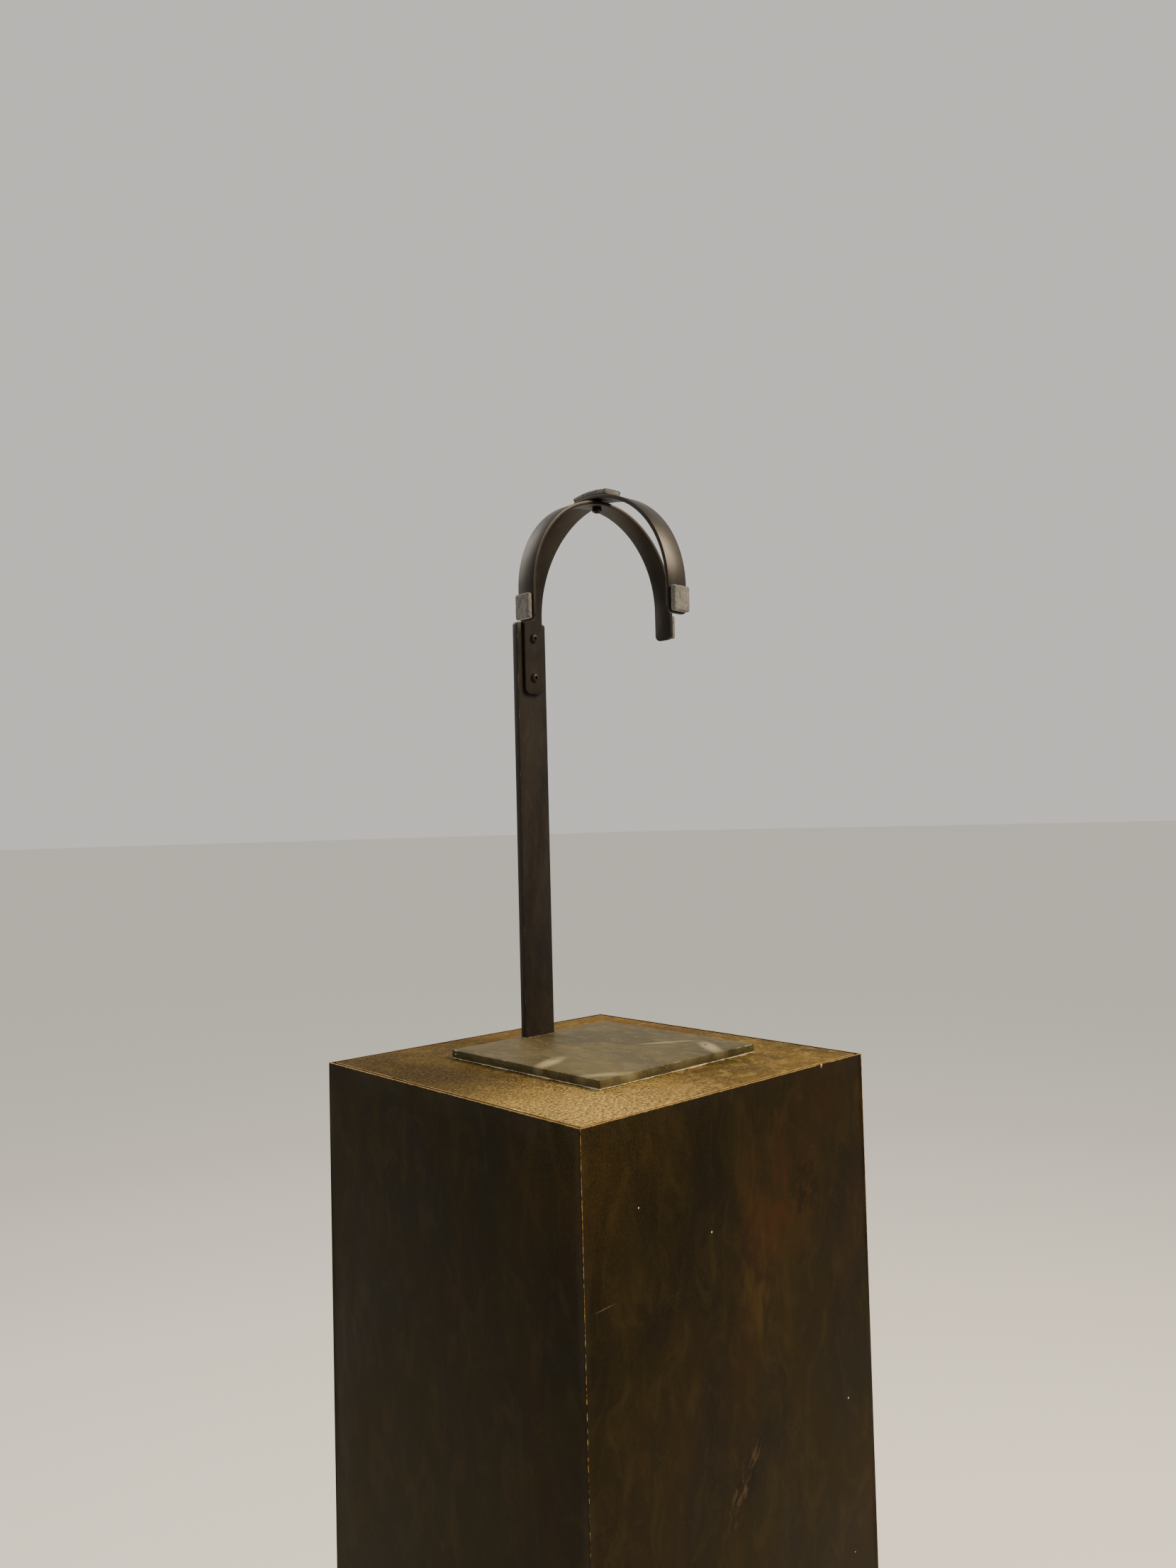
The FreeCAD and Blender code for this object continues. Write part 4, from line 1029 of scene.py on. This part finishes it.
makeCradleFixings()
makeMountBolts()
print("cradle fixings and mount bolts ready")

feltShape = {"thickMm": 5, "edgeMm": 1.6, "gridMm": 0.8, "fuzz": (1.8, 0.5, 1.6), "steps": 44, "holeMm": 4.8,
             "fill": 0.9}


def finishFelt(piece, node):
    # never crisp: soft and uneven all over, inside the pad's own size
    roughen(piece, lambda co: True, feltShape["fuzz"])
    settle(ontoMount(piece), greyFelt, "grey_felt", "lid", node, degrees=60)


def makeSideFelt(side):
    node = "felt_" + side
    low, high = mountBox(node)
    piece = startCube("felt_pad_" + side, low, high)
    bevelArrises(piece, feltShape["edgeMm"] * mm, 3)
    for axis in range(3):
        divideAlong(piece, axis, (high[axis] - low[axis]) * 0.9, feltShape["gridMm"] * mm)
    finishFelt(piece, node)


def makeCrownFelt():
    low, high = mountBox("felt_crown")
    spineLow, spineHigh = mountBox("cradle_spine")
    outer = high.z - (crown.z - (spineHigh.y - spineLow.y) / 2)
    thick = feltShape["thickMm"] * mm
    half = math.asin((high.y - low.y) / 2 / outer)
    width = high.x - low.x
    bpy.ops.object.select_all(action="DESELECT")
    bpy.ops.mesh.primitive_plane_add(size=1, location=(outer - thick / 2, 0, 0))
    piece = bpy.context.object
    piece.scale = (thick, width, 1)
    applyPlace(piece, "felt_pad_crown")
    edit(piece)
    bpy.ops.mesh.select_all(action="SELECT")
    bpy.ops.mesh.subdivide(number_cuts=1)
    bpy.ops.mesh.select_all(action="SELECT")
    bpy.ops.mesh.spin(steps=feltShape["steps"], angle=2 * half, center=(0, 0, 0), axis=(0, 1, 0))
    leave()
    closeUp(piece)
    moveTo(piece, (0, 0, 0), (0, half - math.pi / 2, 0))
    moveTo(piece, (crown.x, crown.y, high.z - outer), (0, 0, math.pi / 2))
    bevelArrises(piece, feltShape["edgeMm"] * mm, 3)
    divideAlong(piece, 0, width * 0.9, feltShape["gridMm"] * mm)
    drillAlong(piece, 2, crown, feltShape["holeMm"])
    finishFelt(piece, "felt_crown")


for side in ("front", "left", "right"):
    makeSideFelt(side)
makeCrownFelt()
print("felt pads ready")

threadShape = {"rootShare": 0.86, "baseShare": 0.86, "crestShare": 0.22, "sunkMm": 0.1, "tipMm": 0.4,
               "steps": 22}


def makeThread(name, radius, pitch, low, high, middle=(0, 0)):
    # a right-hand thread: a root bar, and a tooth swept round it
    root = radius * threadShape["rootShare"]
    base, crest, sunk = threadShape["baseShare"], threadShape["crestShare"], threadShape["sunkMm"] * mm
    centre = low + pitch / 2
    bpy.ops.object.select_all(action="DESELECT")
    bpy.ops.mesh.primitive_plane_add(size=1, rotation=(math.pi / 2, 0, 0),
                                     location=((radius + root) / 2 - sunk, 0, centre))
    tooth = bpy.context.object
    tooth.scale = (radius - root + 2 * sunk, pitch * base, 1)
    applyPlace(tooth, name)
    edit(tooth)
    choose(tooth, "verts", lambda v: v.co.x > (radius + root) / 2)
    bpy.ops.transform.resize(value=(1, 1, crest / base), center_override=(radius, 0, centre))
    bpy.ops.mesh.select_all(action="SELECT")
    bpy.ops.mesh.delete(type="ONLY_FACE")
    leave()
    applyModifier(tooth, "SCREW", {"axis": "Z", "angle": 2 * math.pi, "screw_offset": pitch,
                                   "iterations": int((high - low) / pitch) - 1, "use_smooth_shade": False,
                                   "steps": threadShape["steps"], "render_steps": threadShape["steps"]})
    edit(tooth)
    bpy.ops.mesh.select_mode(type="EDGE")
    bpy.ops.mesh.select_all(action="DESELECT")
    bpy.ops.mesh.select_non_manifold()
    bpy.ops.mesh.fill()
    bpy.ops.mesh.select_all(action="SELECT")
    bpy.ops.mesh.normals_make_consistent(inside=False)
    leave()
    bar = startRound(name + "Root", root, low, high - threadShape["tipMm"] * mm, 32)
    bevelArrises(bar, threadShape["tipMm"] * mm, 1)
    return moveTo(joinAll(name, [tooth, bar]), (middle[0], middle[1], 0))


footShape = {"padMm": [(17.4, 0), (18.6, 0.35), (19, 1), (19, 3.1), (18.6, 3.8), (18, 4), (10.9, 10.5),
                       (10.4, 10.9), (10, 11), (5.3, 11), (5.06, 10.7), (5.06, 3)],
             "studMm": 5, "pitchMm": 1.5, "acrossMm": 17, "lowMm": 11.5, "highMm": 17.5, "easeMm": 0.9,
             "turnedShare": 0.95, "nutBoreMm": 5.06}


def footSpot(corner):
    low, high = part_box("foot_stud_" + corner)
    return (low.x + high.x) / 2, (low.y + high.y) / 2


def makeFoot(corner):
    node = "foot_stud_" + corner
    low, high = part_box(node)
    x, y = footSpot(corner)
    pad = moveTo(turned("foot_pad_" + corner + "_moulding", footShape["padMm"], 64), (x, y, 0))
    settle(pad, blackNylon, "black_nylon", "pad_" + corner, "foot_pad_" + corner)
    # the stud: a plain end in the pad's socket, a hexagon collar, then thread
    stud, bottom, top, ease = (footShape[key] for key in ("studMm", "lowMm", "highMm", "easeMm"))
    flat = footShape["acrossMm"] / 2
    turnedIn = flat * footShape["turnedShare"]
    corners = flat / math.cos(math.radians(30))
    collar = startRound("collar", corners * mm, bottom * mm, top * mm, 6)
    shapeWith(collar, turned("rounder", [(turnedIn, bottom), (corners, bottom + ease), (corners, top - ease),
                                         (turnedIn, top)], 64), "INTERSECT")
    foot = low.z / mm
    plain = turned("plain", [(stud - 0.6, foot), (stud, foot + 0.6), (stud, bottom + 1.5)], 40)
    collar = moveTo(joinAll("collar", [collar, plain]), (x, y, 0))
    thread = makeThread("thread", stud * mm, footShape["pitchMm"] * mm, (top - 0.5) * mm, high.z, (x, y))
    settle(joinAll(node + "_threaded", [collar, thread]), zincPlate, "zinc_steel", "stud_" + corner, node)


footCorners = ("front_left", "front_right", "back_left", "back_right")
for corner in footCorners:
    makeFoot(corner)
print("levelling feet ready")

ballastShape = {"headMm": [(12.6, 0), (13.6, 0.5), (14, 1.4), (14, 3.4), (13.6, 4), (6, 4)], "rodMm": 6,
                "pitchMm": 1.75, "threadFromMm": 90, "socketMm": 4.7, "socketDeepMm": 2.6, "nutBoreMm": 6.05,
                "washerBoreMm": 6.5}


def makeBallastFixings():
    rod, threadFrom = ballastShape["rodMm"], ballastShape["threadFromMm"]
    low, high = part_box("ballast_rod")
    profile = [(radius, height + low.z / mm) for radius, height in ballastShape["headMm"]]
    head = turned("rodHead", profile + [(rod, threadFrom + 1)], 64)
    shapeWith(head, startRound("socket", ballastShape["socketMm"] * mm, low.z - mm,
                               low.z + ballastShape["socketDeepMm"] * mm, 6))
    thread = makeThread("rodThread", rod * mm, ballastShape["pitchMm"] * mm, threadFrom * mm, high.z)
    settle(joinAll("ballast_tie_rod", [head, thread]), zincPlate, "zinc_steel", "carcass", "ballast_rod")
    low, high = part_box("ballast_nut")
    nut = makeNut("ballast_hex_nut", (high.y - low.y) / mm, (high.z - low.z) / mm, ballastShape["nutBoreMm"])
    settle(moveTo(nut, (0, 0, low.z)), zincPlate, "zinc_steel", "carcass", "ballast_nut")
    low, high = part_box("ballast_washer")
    washer = makeRing("ballast_flat_washer", high.y / mm, (high.z - low.z) / mm,
                      ballastShape["washerBoreMm"], (0.4, 0.5), 0.3, 64)
    settle(moveTo(washer, (0, 0, low.z)), zincPlate, "zinc_steel", "carcass", "ballast_washer")
    low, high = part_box("foot_lock_nuts")
    model = makeNut("lockNutModel", footShape["acrossMm"], (high.z - low.z) / mm, footShape["nutBoreMm"])
    nuts = copiesOf(model, "foot_lock_nut_set", [(*footSpot(corner), low.z) for corner in footCorners])
    settle(nuts, zincPlate, "zinc_steel", "carcass", "foot_lock_nuts")


makeBallastFixings()
print("ballast fixings and lock nuts ready")

for board, node, across, along in (("front", "wall_front", 1, 2), ("back", "wall_back", 1, 2),
                                   ("left", "wall_left", 0, 2), ("right", "wall_right", 0, 2),
                                   ("lid", "lid_core", 2, 0), ("base", "base_panel", 2, 1)):
    repaint(plywood("birch plywood, " + board, across, along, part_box(node)[0][across]), node)
repaint(softwood("planed pine, upright", 2), *[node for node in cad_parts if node.startswith("batten_")
                                               and node != "batten_screws"])
repaint(softwood("planed pine, front to back", 1), "ledger_left", "ledger_right")
repaint(softwood("planed pine, side to side", 0), "ledger_front", "ledger_back")
repaint(millScale, *[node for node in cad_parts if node.startswith("ballast_plate")])
repaint(zincPlate, "batten_screws", "ledger_screws", "foot_inserts")
print("carcass finishes ready")
